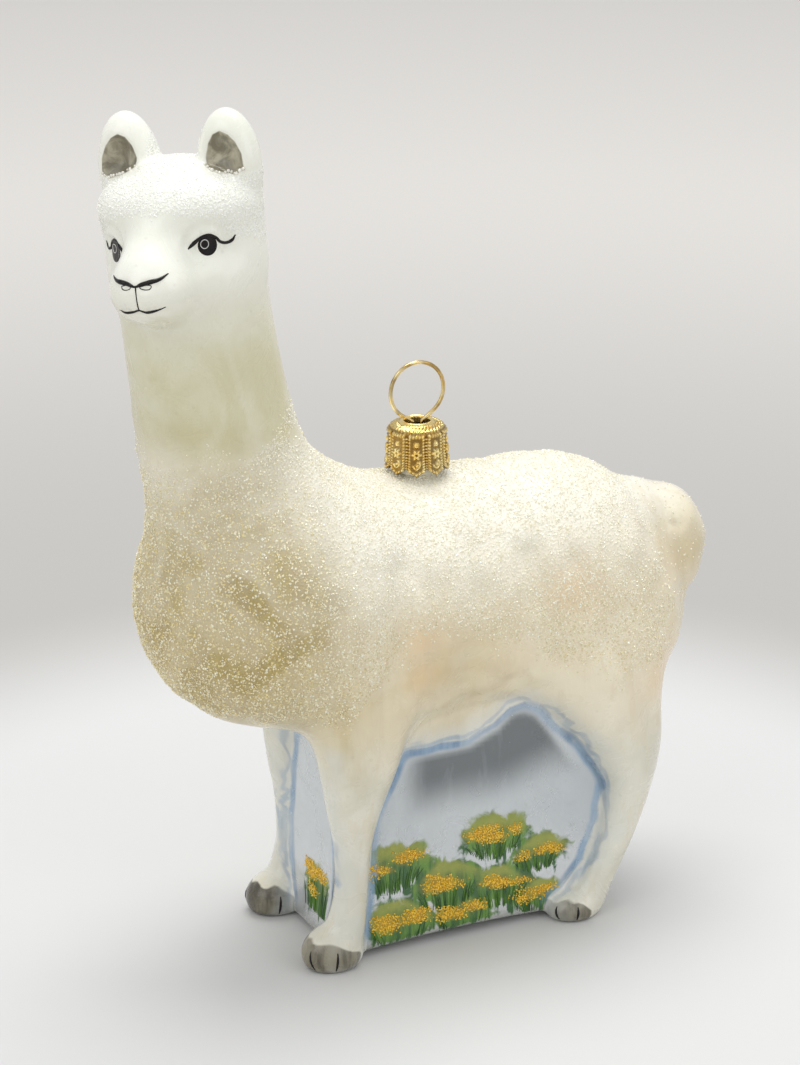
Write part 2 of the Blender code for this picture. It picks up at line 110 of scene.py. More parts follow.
def ball(points, centre, radii, axes=None):
    """About how far each point is outside an egg with these radii along the axes."""
    away = points - np.array(centre, float)
    if axes is not None:
        away = away @ axes.T
    radii = np.array(radii, float)
    scaled = np.linalg.norm(away / radii, axis=1)
    steep = np.linalg.norm(away / radii ** 2, axis=1)
    return scaled * (scaled - 1.0) / np.maximum(steep, 1e-6)


def along(stations, steps=4):
    """A smooth run of (x, y, z, radius) through the stations."""
    stations = np.array(stations, float)
    first = 2 * stations[0] - stations[1]
    last = 2 * stations[-1] - stations[-2]
    padded = np.vstack([first, stations, last])
    run = []
    for before, start, end, after in zip(padded, padded[1:], padded[2:], padded[3:]):
        for t in np.arange(steps) / steps:
            bend = 2 * before - 5 * start + 4 * end - after
            twist = -before + 3 * start - 3 * end + after
            run.append(start + 0.5 * ((end - before) * t + bend * t * t + twist * t ** 3))
    run.append(stations[-1])
    return np.array(run)


def row(points, stations):
    """How far each point is outside a row of balls joined by tapering lengths."""
    nearest = None
    run = along(stations)
    for start, end in zip(run, run[1:]):
        length = np.linalg.norm(end[:3] - start[:3])
        away = points - start[:3]
        forth = away @ (end[:3] - start[:3]) / length
        out = np.sqrt(np.maximum((away * away).sum(1) - forth * forth, 0.0))
        slope = np.clip((start[3] - end[3]) / length, -0.99, 0.99)
        level = np.sqrt(1.0 - slope * slope)
        place = forth * level - out * slope
        side = out * level + forth * slope - start[3]
        low = np.hypot(out, forth) - start[3]
        high = np.hypot(out, forth - length) - end[3]
        gap = np.where(place < 0.0, low, np.where(place > level * length, high, side))
        nearest = gap if nearest is None else np.minimum(nearest, gap)
    return nearest


def unit(vectors):
    """Vectors brought to length 1."""
    return vectors / np.maximum(np.linalg.norm(vectors, axis=-1, keepdims=True), 1e-9)


def head_axes():
    """The head's own left, forward and up directions, as rows."""
    turn, tilt, lift = radians(HEAD_TURN), radians(HEAD_TILT), radians(HEAD_LIFT)
    forward = np.array([sin(turn) * cos(lift), -cos(turn) * cos(lift), sin(lift)])
    left = np.array([cos(turn), sin(turn), 0.0])
    up = np.cross(left, -forward)
    return np.array([left * cos(tilt) + up * sin(tilt), forward, up * cos(tilt) - left * sin(tilt)])


HEAD = head_axes()


def in_head(left, forward, up):
    """The place of a point given in the head's own directions."""
    return np.array(HEAD_MIDDLE) + np.array([left, forward, up], float) @ HEAD


def in_head_frame(points):
    """Left, forward and up of each point in the head's own directions."""
    return (points - np.array(HEAD_MIDDLE)) @ HEAD.T


def head_row(*stations):
    """Stations given as left, forward, up and radius in the head's directions."""
    return [tuple(in_head(*station[:3])) + (station[3],) for station in stations]


CHEST = ((0.0, -3.6, 58.4), (19.5, 22.6, 20.5))         # centre and radii of each ball
BACK = (                                                # and how softly it joins the chest
    ((0.0, 19.0, 54.4), (18.5, 30.0, 20.5), 8.0),       # barrel
    ((0.0, 40.0, 53.6), (17.5, 21.5, 20.5), 8.0),       # loin
    ((0.0, 47.5, 48.6), (16.0, 17.5, 17.0), 5.0),       # rump
)
TAIL = ((0.0, 62.1, 56.4), (8.5, 7.4, 9.8))
TAIL_ROOT = ((0.0, 55.0, 60.5), (8.0, 8.0, 7.5))
NECK = ((0.0, -7.5, 65.0, 15.5), (0.0, -12.0, 79.0, 12.7), (0.2, -14.9, 93.0, 11.5),
        (0.3, -17.3, 110.0, 11.0))
SKULL = ((0.0, -1.2, -0.5), (12.2, 10.0, 12.3))         # from here on in the head's directions
TOPKNOT = ((0.0, -0.9, 5.0), (12.2, 10.4, 6.0))
MUZZLE = ((0.0, 11.4, -5.0), (6.1, 5.2, 4.9))
BRIDGE = ((0.0, 3.4, 4.2, 5.0), (0.0, 11.2, -2.4, 3.9))
JAW = ((0.0, 1.0, -3.6, 9.4), (0.0, 7.6, -4.4, 6.1))
EAR = ((8.0, -2.4, 10.2), (4.9, 3.8, 8.4))
EAR_CUP = ((8.1, 2.1, 11.9), (3.9, 2.4, 4.6))
EYE_HOLLOW = ((8.7, 8.9, 0.3), (3.2, 2.5, 3.2))


# the legs, from thigh to hoof: the share of the foot's x, then y, z and radius
FRONT_LEG = ((0.80, 6.0, 45.0, 8.8), (0.97, 4.3, 35.0, 6.6), (1.04, 3.1, 27.0, 4.5),
             (1.04, 2.8, 20.0, 3.1), (1.02, 2.6, 12.0, 2.75), (1.01, 1.6, 6.0, 3.2),
             (1.0, 0.6, 3.0, 3.6))
HIND_LEG = ((0.66, 45.5, 42.0, 11.0), (0.88, 49.7, 30.0, 7.0), (0.98, 50.6, 21.5, 4.2),
            (1.0, 48.8, 13.5, 3.1), (1.0, 46.0, 7.0, 2.8), (1.0, 44.0, 3.0, 3.0))
FRONT_HOOF_Y = -0.6
HIND_HOOF_Y = 41.2
LEGS = (   # stations, the foot's x, the hoof's y and z, its radii and how softly it joins
    (FRONT_LEG, FOOT_FRONT_X, (FRONT_HOOF_Y, 2.4), (4.3, 5.0, 4.2), 2.0),
    (HIND_LEG, FOOT_HIND_X, (HIND_HOOF_Y, 1.6), (3.8, 4.6, 3.0), 1.5),
)


def legs(side):
    """The stations, the hoof's centre and radii, and their joint, of one side's two legs."""
    for stations, foot, (y, z), radii, reach in LEGS:
        x = foot * side
        yield [(share * x, *rest) for share, *rest in stations], ((x, y, z), radii), reach


def panel_block(points):
    """The waisted block of glass that fills the space between the four legs."""
    x, y, z = points.T
    waist = np.sin(pi * np.clip(z / PANEL_WAIST_TOP, 0.0, 1.0)) ** 0.8
    sides = np.abs(x) - (PANEL_SIDE - waist)
    front = PANEL_FRONT + waist - y
    rear = y - (PANEL_REAR + PANEL_REAR_LEAN * np.minimum(z, PANEL_REAR_BEND))
    body = carve(carve(sides, -front, 2.0), -rear, 2.0)
    share = np.clip((y - PANEL_FRONT) / (PANEL_REAR - PANEL_FRONT), 0.0, 1.0)
    body = carve(body, z - UNDERSIDE - UNDERSIDE_ARCH * np.sin(pi * share), 2.2)
    return carve(body, PANEL_TOP - z, 3.0)


def on_head(points, shape):
    """Distance to a ball given in the head's own directions."""
    return ball(points, in_head(*shape[0]), shape[1], HEAD)


def on_side(shape, side):
    """The same ball on the left (1) or the right (-1)."""
    (left, forward, up), radii = shape
    return (left * side, forward, up), radii


def head_shape(points):
    """Skull, nose bridge, jaw and muzzle, with the eye hollows, the topknot and both ears."""
    gap = melt(on_head(points, SKULL), row(points, head_row(*JAW)), 4.0)
    gap = melt(gap, row(points, head_row(*BRIDGE)), 4.0)
    gap = melt(gap, on_head(points, MUZZLE), 3.5)
    for side in (-1, 1):
        gap = carve(gap, on_head(points, on_side(EYE_HOLLOW, side)), 2.5)
    gap = melt(gap, on_head(points, TOPKNOT), 4.0)
    for side in (-1, 1):
        ear = on_head(points, on_side(EAR, side))
        ear = carve(ear, on_head(points, on_side(EAR_CUP, side)), 0.8)
        gap = melt(gap, ear, 1.6)
    return gap


def trunk(points):
    """Chest, barrel, loin and rump in one."""
    gap = ball(points, *CHEST)
    for centre, radii, reach in BACK:
        gap = melt(gap, ball(points, centre, radii), reach)
    return gap


def with_legs(points, gap):
    """The distance to a shape with the four legs and hooves joined to it."""
    for side in (-1, 1):
        front, hind = (melt(row(points, stations), ball(points, *hoof), reach)
                       for stations, hoof, reach in legs(side))
        gap = melt(gap, np.minimum(front, hind), 8.0)
    return gap


def llama_alone(points):
    """How far each point is outside the llama's trunk, tail and legs."""
    return np.minimum(with_legs(points, trunk(points)), ball(points, *TAIL))


def glass(points):
    """How far each point is outside the whole glass figure."""
    gap = melt(trunk(points), row(points, NECK), 9.0)
    gap = melt(gap, head_shape(points), 4.5)
    gap = melt(gap, melt(ball(points, *TAIL), ball(points, *TAIL_ROOT), 4.0), 2.5)
    gap = melt(with_legs(points, gap), panel_block(points), 1.3)
    return carve(gap, points[:, 2], 0.6)


def out_of(field, points):
    """Unit direction in which a distance grows, at each point."""
    step = 0.03
    slope = np.empty_like(points)
    for axis in range(3):
        nudge = np.zeros(3)
        nudge[axis] = step
        slope[:, axis] = field(points + nudge) - field(points - nudge)
    return unit(slope)


def ramp(value, low, high):
    """0 below low, 1 above high, and a smooth rise between them."""
    share = np.clip((value - low) / (high - low), 0.0, 1.0)
    return share * share * (3.0 - 2.0 * share)


def hump(gap, width=1.0, power=2):
    """1 where the gap is 0, falling smoothly to nearly 0 at twice the width."""
    return np.exp(-(gap / width) ** power)


def oval(across, high, middle, halves, power=2):
    """A hump over an oval spot, given by its middle and its half sizes."""
    gap = np.hypot((across - middle[0]) / halves[0], (high - middle[1]) / halves[1])
    return hump(gap, power=power)


def patches(points, size, seed):
    """An uneven smooth pattern between about -1 and 1, its patches about this wide."""
    chance = np.random.default_rng(seed)
    total = np.zeros(len(points))
    for wave in range(10):
        way = unit(chance.normal(size=3))
        length = size * chance.uniform(1.2, 2.6)
        total += np.cos(points @ way * 2.0 * pi / length + chance.uniform(0.0, 2.0 * pi))
    return total / 4.0


def along_line(across, high, start, end):
    """Distance of side-view places from a straight line between two places."""
    run = np.array(end, float) - np.array(start, float)
    share = ((across - start[0]) * run[0] + (high - start[1]) * run[1]) / (run @ run)
    share = np.clip(share, 0.0, 1.0)
    return np.hypot(across - start[0] - share * run[0], high - start[1] - share * run[1])


def inside_outline(across, high, outline):
    """How far places are inside a flat outline; under 0 outside it."""
    corners = np.array(outline, float)
    nearest = np.full(len(across), 1e9)
    inside = np.zeros(len(across), bool)
    for (x1, z1), (x2, z2) in zip(corners, np.roll(corners, -1, axis=0)):
        nearest = np.minimum(nearest, along_line(across, high, (x1, z1), (x2, z2)))
        if z1 != z2:
            crossing = (z1 > high) != (z2 > high)
            inside ^= crossing & (across < (x2 - x1) * (high - z1) / (z2 - z1) + x1)
    return np.where(inside, nearest, -nearest)


# ---- the moulded relief of the fleece and the face

FOLDS = (   # on both flanks: start (y, z), end (y, z), half width, depth
    ((8.6, 65.0), (5.8, 46.5), 2.2, 0.85),
    ((14.5, 62.0), (13.0, 45.0), 2.0, 0.45),
    ((22.0, 60.0), (21.0, 42.0), 2.6, 0.50),
    ((31.8, 64.0), (35.6, 49.0), 1.9, 0.95),
    ((44.0, 49.0), (52.5, 33.5), 2.2, 0.70),
    ((50.5, 58.0), (56.0, 47.0), 2.2, 0.40),
    ((38.5, 62.0), (44.0, 53.0), 2.0, 0.50),
    ((-14.0, 62.0), (-8.0, 45.0), 2.8, 0.35),
    ((6.0, 41.0), (4.2, 33.0), 2.0, 0.25),
)
CHEST_RIPPLES = (
    ((-24.0, 77.5), (-19.0, 71.0), 0.9, 0.22),
    ((-25.0, 72.0), (-20.5, 66.0), 0.9, 0.22),
    ((-21.0, 83.0), (-16.5, 76.5), 0.9, 0.22),
)
CURL = ((61.6, 63.0), 1.6, 0.45, 0.30)      # ring on the tail: middle (y, z), radius, width, depth
LOCK_DEPTH = 0.21
FACE_FOOT = 100.0                           # the face's relief starts above this height
NOSE_PIT = (1.6, -3.35)                     # left and up in the head
NOSE_GROOVE = (-7.2, -3.2)                  # lower and upper end
LIPS_UP = -7.0
LIPS_ASIDE = 4.6
EYEBALL = (7.3, 6.7, 0.35)                  # left, forward and up in the head
TEMPLE = (10.6, 5.2, -0.9)


def relief(points):
    """Height of the moulded fleece over the smooth figure."""
    x, y, z = points.T
    aside = np.abs(x)
    height = np.zeros(len(points))
    for lines, low, high in ((FOLDS, 5.0, 11.0), (CHEST_RIPPLES, 1.0, 4.0)):
        there = ramp(aside, low, high)
        for start, end, width, depth in lines:
            height -= depth * there * hump(along_line(y, z, start, end), width)
    (curl_y, curl_z), radius, width, depth = CURL
    gap = np.abs(np.hypot(y - curl_y, z - curl_z) - radius)
    height -= depth * ramp(aside, 4.0, 6.0) * hump(gap, width)
    fleece = ramp(z, 38.0, 44.0) * ramp(96.0 - z, 0.0, 8.0)
    locks = patches(points * (1.0, 1.0, 0.55), 5.0, 11)
    locks += 0.6 * patches(points * (1.0, 1.0, 0.6), 2.4, 12)
    return height + LOCK_DEPTH * fleece * locks + face_relief(points)


def face_relief(points):
    """Height of the lids, nostrils, lips and temples over the smooth head."""
    left, forward, up = in_head_frame(points).T
    aside = np.abs(left)

    def away(middle):
        return np.sqrt((aside - middle[0]) ** 2 + (forward - middle[1]) ** 2 + (up - middle[2]) ** 2)

    front = ramp(forward, 11.5, 13.5) * ramp(-up, 1.0, 2.5)
    height = -0.30 * front * hump(np.hypot(aside - NOSE_PIT[0], up - NOSE_PIT[1]), 0.75)
    height -= 0.16 * front * (up > NOSE_GROOVE[0]) * (up < NOSE_GROOVE[1]) * hump(aside, 0.40)
    lips = up - LIPS_UP + 0.25 * np.cos(aside * 1.4)
    mouth = ramp(LIPS_ASIDE - aside, 0.0, 1.5)
    height -= 0.22 * front * mouth * hump(lips, 0.42)
    height += 0.16 * front * mouth * hump(lips + 1.1, 0.7)
    eye = away(EYEBALL)
    height += 0.22 * hump(eye - 2.15, 0.45) * ramp(up, -1.6, 0.6)
    height -= 0.18 * hump(eye - 3.3, 0.6) * ramp(up, -0.5, 1.2)
    height -= 0.75 * hump(away(TEMPLE), 2.6)
    return height * (points[:, 2] > FACE_FOOT)


def skin_field(points):
    """How far each point is outside the painted glass."""
    return glass(points) + SKIN_DEPTH - relief(points)


# ---- where each paint and the glitter go, as smooth values over the glass

FRONT_TOE = (3.4, 5.2)     # the grey toe paint ends this far behind the hoof's middle and this high
HIND_TOE = (1.8, 3.5)
BETWEEN_HOOVES = 20.0
EAR_PAINT = ((5.4, 11.9), (6.0, 13.8), (6.9, 15.1), (8.1, 15.6), (9.3, 15.0), (10.3, 13.9), (11.1, 12.2),
             (11.3, 10.1), (10.0, 9.2), (7.6, 9.8), (5.7, 10.7))    # outline, left and up in the head
PANEL_OUTLINE = ((-6.0, -9.0), (-6.0, 33.8), (10.0, 33.9), (22.5, 34.1), (26.5, 35.9), (29.2, 38.2),
                 (32.0, 38.7), (35.0, 37.3), (40.6, 31.0), (46.8, 22.6), (46.0, 15.0), (43.0, 8.5),
                 (37.5, 3.2), (37.5, -9.0))             # outline of the silver, side view
OCHRE_SPOTS = (   # middle (y, z), half sizes, strength and how sharply the spot ends
    ((-17.5, 59.5), (16.2, 25.0), 0.9, 4),      # chest
    ((0.5, 42.0), (8.0, 9.5), 0.4, 2),          # shoulder
    ((16.0, 48.0), (9.0, 8.0), 0.4, 2),         # flank
    ((64.0, 59.0), (7.0, 7.0), 0.35, 2),        # tail
)
NECK_TOP = 83.0            # the glitter ends about this high on the neck
CHEST_FOOT = 43.5          # and starts about this high on the chest and on the flanks
FLANK_FOOT = 56.5
PEACH_SPOTS = ((11.8, 54.8, 3.4), (12.0, 48.6, 3.0), (38.5, 58.0, 4.5), (56.0, 40.0, 4.0))
TUFTS = (   # middle (y, z) and half width of each tuft of meadow plants on the side panels
    (10.6, 14.4, 7.2), (26.6, 16.2, 6.6), (36.0, 11.8, 5.4), (19.0, 9.8, 7.2), (11.6, 5.2, 7.2),
    (29.4, 7.8, 6.4), (22.0, 4.6, 6.2), (34.6, 4.8, 5.2),
)
FRONT_TUFT = (1.5, 8.6, 4.6)                # on the front face: middle (x, z) and half width
PANEL_ASIDE = 7.5                           # the side panels lie further out than this
FRONT_PANEL_Y = 3.5                         # and the front face lies before this
DABS = 6                                    # dabs of golden glitter on each tuft


def paint_hoof(points):
    """Over 0 on the grey toes of the four hooves."""
    x, y, z = points.T
    front = np.minimum(FRONT_TOE[1], 4.2 - 0.45 * y) - z
    front = np.minimum(front, FRONT_TOE[0] - (y - FRONT_HOOF_Y))
    hind = np.minimum(HIND_TOE[1], HIND_TOE[1] - 0.9 * (y - 41.0)) - z
    hind = np.minimum(hind, HIND_TOE[0] - (y - HIND_HOOF_Y))
    toe = np.where(y < BETWEEN_HOOVES, front, hind)
    return np.minimum(toe, np.abs(x) - 5.5)


def paint_ear(points):
    """Over 0 in the painted hollow of each ear."""
    left, forward, up = in_head_frame(points).T
    return np.minimum(inside_outline(np.abs(left), up, EAR_PAINT), forward + 1.2)


def silver_edge(points):
    """How far each place on the panels is from the llama's own glass; under 0 on the llama."""
    x, y, z = points.T
    edge = llama_alone(points) - np.maximum(panel_block(points), 0.0) - 0.2
    lifted = edge + 4.0 * ramp(z, 27.0, 31.5) * ramp(y, 12.0, 17.0)
    lifted += 2.0 * ramp(y, 36.0, 40.0) * ramp(z, 7.0, 12.0)
    flank = melt(lifted, inside_outline(y, z, PANEL_OUTLINE), 1.2)
    at_side = ramp(np.abs(x), 8.0, 9.0)
    return np.where(z < 42.0, at_side * flank + (1.0 - at_side) * edge, -5.0)


def silver_painted_reflection(points, edge):
    """How much painted reflection darkens the silver: a soft dark cloud that hangs under the panel's
    upper edge.
    """
    x, y, z = points.T
    low = 23.6 + 2.2 * ramp(y, 28.0, 40.0) + 0.8 * patches(points, 9.0, 41)
    late = ramp(y, 34.0, 40.0)
    cloud = ramp(z - low, -3.5, 6.0) * ramp(edge - 0.9 * late, 0.8, 2.6)
    return cloud * ramp(y, 10.0, 16.0)


def ochre_share(points):
    """How much ochre lies on the chest, the shoulders, the flanks and the tail, from 0 to 1."""
    x, y, z = points.T
    total = sum(strength * oval(y, z, middle, halves, power)
                for middle, halves, strength, power in OCHRE_SPOTS)
    return np.clip(total, 0.0, 1.0)


def peach_share(points):
    """How much peach lies in the spots on the flanks, from 0 to 1."""
    x, y, z = points.T
    spots = [oval(y, z, (spot_y, spot_z), (size, size)) for spot_y, spot_z, size in PEACH_SPOTS]
    return np.max(spots, axis=0) * ramp(np.abs(x), 6.0, 10.0)


def coat_share(points):
    """How thickly the glitter lies, from 0 to 1."""
    x, y, z = points.T
    uneven = patches(points, 4.5, 21)
    neck_top = NECK_TOP + 0.28 * (y + 25.0) + 2.6 * uneven
    chest_foot = CHEST_FOOT + 1.6 * uneven
    flank_foot = FLANK_FOOT - 0.38 * np.clip(y - 18.0, 0.0, 28.0)
    flank_foot += 2.6 * patches(points, 7.0, 22) + 1.4 * uneven
    behind = ramp(y, 0.5, 8.5)
    foot = chest_foot + behind * (flank_foot - chest_foot)
    soft = 2.5 + 3.5 * behind
    body = ramp(z, foot - soft, foot + soft) * ramp(neck_top - z, -3.0, 7.0)
    body *= 1.0 - 0.92 * ramp(y + 2.5 * uneven, 47.0, 60.0)
    left, forward, up = in_head_frame(points).T
    brow = np.maximum(0.62 * forward - 0.4, 0.2) + 0.55 * patches(points, 2.6, 23)
    top = ramp(up, brow - 1.2, brow + 1.6)
    ears = ramp(up - 8.4 - 0.25 * np.abs(forward), 0.0, 1.2) * ramp(np.abs(left), 3.6, 4.6)
    top *= (1.0 - ears) * (z > 104.0)
    return np.maximum(body * (z < 100.0), top)


def side_tufts(side):
    """The tufts on one side's panel, each moved a little so that the two sides differ."""
    return [(middle + 0.9 * side * sin(middle), high, wide) for middle, high, wide in TUFTS]


def meadow(points, rise):
    """How much of the painted plants' green lies at each place, its middle raised by rise."""
    x, y, z = points.T
    total = np.zeros(len(points))
    for side in (1, -1):
        for middle, high, wide in side_tufts(side):
            tuft = oval(y, z, (middle, high + rise), (wide, 0.58 * wide), 4)
            total = np.maximum(total, tuft * (x * side > PANEL_ASIDE))
    middle, high, wide = FRONT_TUFT
    tuft = oval(x, z, (middle, high + rise), (wide, wide), 4)
    return np.maximum(total, tuft * (y < FRONT_PANEL_Y) * (np.abs(x) < 9.0))


def flower_share(points):
    """How thickly the golden glitter of the flowers lies, in short bands on the plants."""
    x, y, z = points.T
    chance = np.random.default_rng(76)
    share = np.zeros(len(points))
    for side in (1, -1):
        for middle, high, wide in side_tufts(side):
            for dab in range(DABS):
                dab_y = middle + wide * chance.uniform(-0.62, 0.62)
                dab_z = high + wide * chance.uniform(-0.10, 0.20)
                halves = wide * chance.uniform(0.16, 0.40), wide * chance.uniform(0.06, 0.12)
                band = oval(y, z, (dab_y, dab_z), halves, 4)
                share = np.maximum(share, band * (x * side > PANEL_ASIDE))
    middle, high, wide = FRONT_TUFT
    for dab in range(DABS):
        dab_x = middle + wide * chance.uniform(-0.7, 0.7)
        dab_z = high + wide * chance.uniform(-0.5, 0.9)
        band = oval(x, z, (dab_x, dab_z), (0.35 * wide, 0.16 * wide), 4)
        share = np.maximum(share, band * (y < FRONT_PANEL_Y))
    return share * (z < 24.0) * (silver_edge(points) > 0.3)


# ---- helpers for meshes and objects

def mesh_from(name, build):
    """A mesh filled by a function that works on an open bmesh, its faces outwards."""
    mesh = bpy.data.meshes.new(name)
    work = bmesh.new()
    build(work)
    bmesh.ops.recalc_face_normals(work, faces=work.faces)
    work.to_mesh(mesh)
    work.free()
    return mesh


def evaluated(item):
    """The object's mesh with its modifiers worked in; the object itself is removed."""
    graph = bpy.context.evaluated_depsgraph_get()
    mesh = bpy.data.meshes.new_from_object(item.evaluated_get(graph))
    item.modifiers.clear()
    bpy.data.objects.remove(item)
    return mesh


def new_object(name, data):
    item = bpy.data.objects.new(name, data)
    bpy.context.scene.collection.objects.link(item)
    return item


def corners_of(mesh):
    """The mesh's vertices as an array."""
    flat = np.empty(len(mesh.vertices) * 3)
    mesh.vertices.foreach_get("co", flat)
    return flat.reshape(-1, 3)


def set_corners(mesh, places):
    mesh.vertices.foreach_set("co", np.asarray(places, float).ravel())
    mesh.update()


def give_value(mesh, name, values):
    """Stores one number for each vertex under this name."""
    layer = mesh.attributes.new(name, "FLOAT", "POINT")
    layer.data.foreach_set("value", np.asarray(values, np.float32))


def hand_over(name, mesh, finish, body="glass", nodes=(), smooth=True):
    """Makes the millimetre mesh a finished piece that rides on a body and stands for nodes."""
    set_corners(mesh, (corners_of(mesh) - (0.0, BOX_MIDDLE_Y, 0.0)) * MM)
    mesh.name = name
    mesh.materials.clear()
    mesh.materials.append(finish)
    if smooth:
        mesh.shade_smooth()
    else:
        mesh.shade_flat()
    piece = new_object(name, mesh)
    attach(piece, body)
    if nodes:
        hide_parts(*nodes)


# ---- the glass skin

def add_ball(work, centre, radii, axes=None, finer=3):
    """A rough ball that the fused skin starts from."""
    turn = Matrix.Identity(4) if axes is None else Matrix(axes.T.tolist()).to_4x4()
    place = Matrix.Translation(Vector(centre)) @ turn @ Matrix.Diagonal(Vector(radii)).to_4x4()
    bmesh.ops.create_icosphere(work, subdivisions=finer, radius=1.0, matrix=place)


def add_block(work, x_low, x_high, outline):
    """Adds a block between two x values whose side view is the outline of (y, z) corners."""
    corners = [work.verts.new((x_low, y, z)) for y, z in outline]
    face = work.faces.new(corners)
    grown = bmesh.ops.extrude_face_region(work, geom=[face])["geom"]
    moved = [item for item in grown if isinstance(item, bmesh.types.BMVert)]
    bmesh.ops.translate(work, verts=moved, vec=(x_high - x_low, 0.0, 0.0))


def rough_figure(work):
    """All balls of the figure, overlapping, before they are fused."""
    for centre, radii in (CHEST, BACK[0][:2], BACK[1][:2], BACK[2][:2], TAIL, TAIL_ROOT):
        add_ball(work, centre, radii)
    rows = [NECK, head_row(*BRIDGE), head_row(*JAW)]
    for side in (-1, 1):
        for stations, hoof, reach in legs(side):
            rows.append(stations)
            add_ball(work, *hoof)
        place, radii = on_side(EAR, side)
        add_ball(work, in_head(*place), radii, HEAD)
    for place, radii in (SKULL, TOPKNOT, MUZZLE):
        add_ball(work, in_head(*place), radii, HEAD)
    for stations in rows:
        for x, y, z, radius in along(stations):
            add_ball(work, (x, y, z), (radius, radius, radius), finer=2)
    rear = PANEL_REAR + PANEL_REAR_LEAN * PANEL_REAR_BEND
    outline = ((PANEL_FRONT, UNDERSIDE), (PANEL_REAR, UNDERSIDE), (rear, PANEL_REAR_BEND),
               (rear, ROUGH_PANEL_TOP), (PANEL_FRONT, ROUGH_PANEL_TOP))
    add_block(work, -PANEL_SIDE + 0.6, PANEL_SIDE - 0.6, outline)


def glass_skin():
    """The whole figure as one closed mesh, settled onto its smooth shape and its relief."""
    rough = new_object("rough", mesh_from("rough", rough_figure))
    fuse = rough.modifiers.new("fuse", "REMESH")
    fuse.mode = "VOXEL"
    fuse.voxel_size = SKIN_CELL
    fuse.adaptivity = 0.0
    mesh = evaluated(rough)
    work = bmesh.new()
    work.from_mesh(mesh)
    head = [edge for edge in work.edges if min(vertex.co.z for vertex in edge.verts) > HEAD_FOOT]
    bmesh.ops.subdivide_edges(work, edges=head, cuts=1, use_grid_fill=True)
    for field in (glass, glass, glass, skin_field, skin_field):
        if field is glass:
            bmesh.ops.smooth_vert(work, verts=work.verts, factor=0.5,
                                  use_axis_x=True, use_axis_y=True, use_axis_z=True)
        places = np.array([vertex.co[:] for vertex in work.verts])
        way = out_of(glass, places)
        places = places - np.clip(field(places), -1.0, 1.0)[:, None] * way
        for vertex, place in zip(work.verts, places):
            vertex.co = place
    work.to_mesh(mesh)
    work.free()
    return mesh


def mark_skin(mesh):
    """Stores on the skin where each paint goes."""
    places = corners_of(mesh)
    edge = silver_edge(places)
    marks = {
        "hoof": paint_hoof(places) + 0.35 * patches(places, 1.8, 31),
        "ear": paint_ear(places),
        "edge": edge,
        # painted reflection: the dark cloud on the silver under the panel's top edge
        "dark": silver_painted_reflection(places, edge),
        "coat": coat_share(places),
        "leaf": meadow(places, 0.0),
        "leaf_low": meadow(places, -1.6),
        "bloom": flower_share(places),
        "blush": ochre_share(places),
        "peach": peach_share(places),
    }
    for name, values in marks.items():
        give_value(mesh, name, values)


# ---- paints and metals; colours are given as red, green and blue from 0 to 255, as they look

def linear(red, green, blue):
    """A colour as the shader takes it."""
    shades = []
    for shade in (red, green, blue):
        shade /= 255.0
        shades.append(shade / 12.92 if shade <= 0.04045 else ((shade + 0.055) / 1.055) ** 2.4)
    return tuple(shades) + (1.0,)


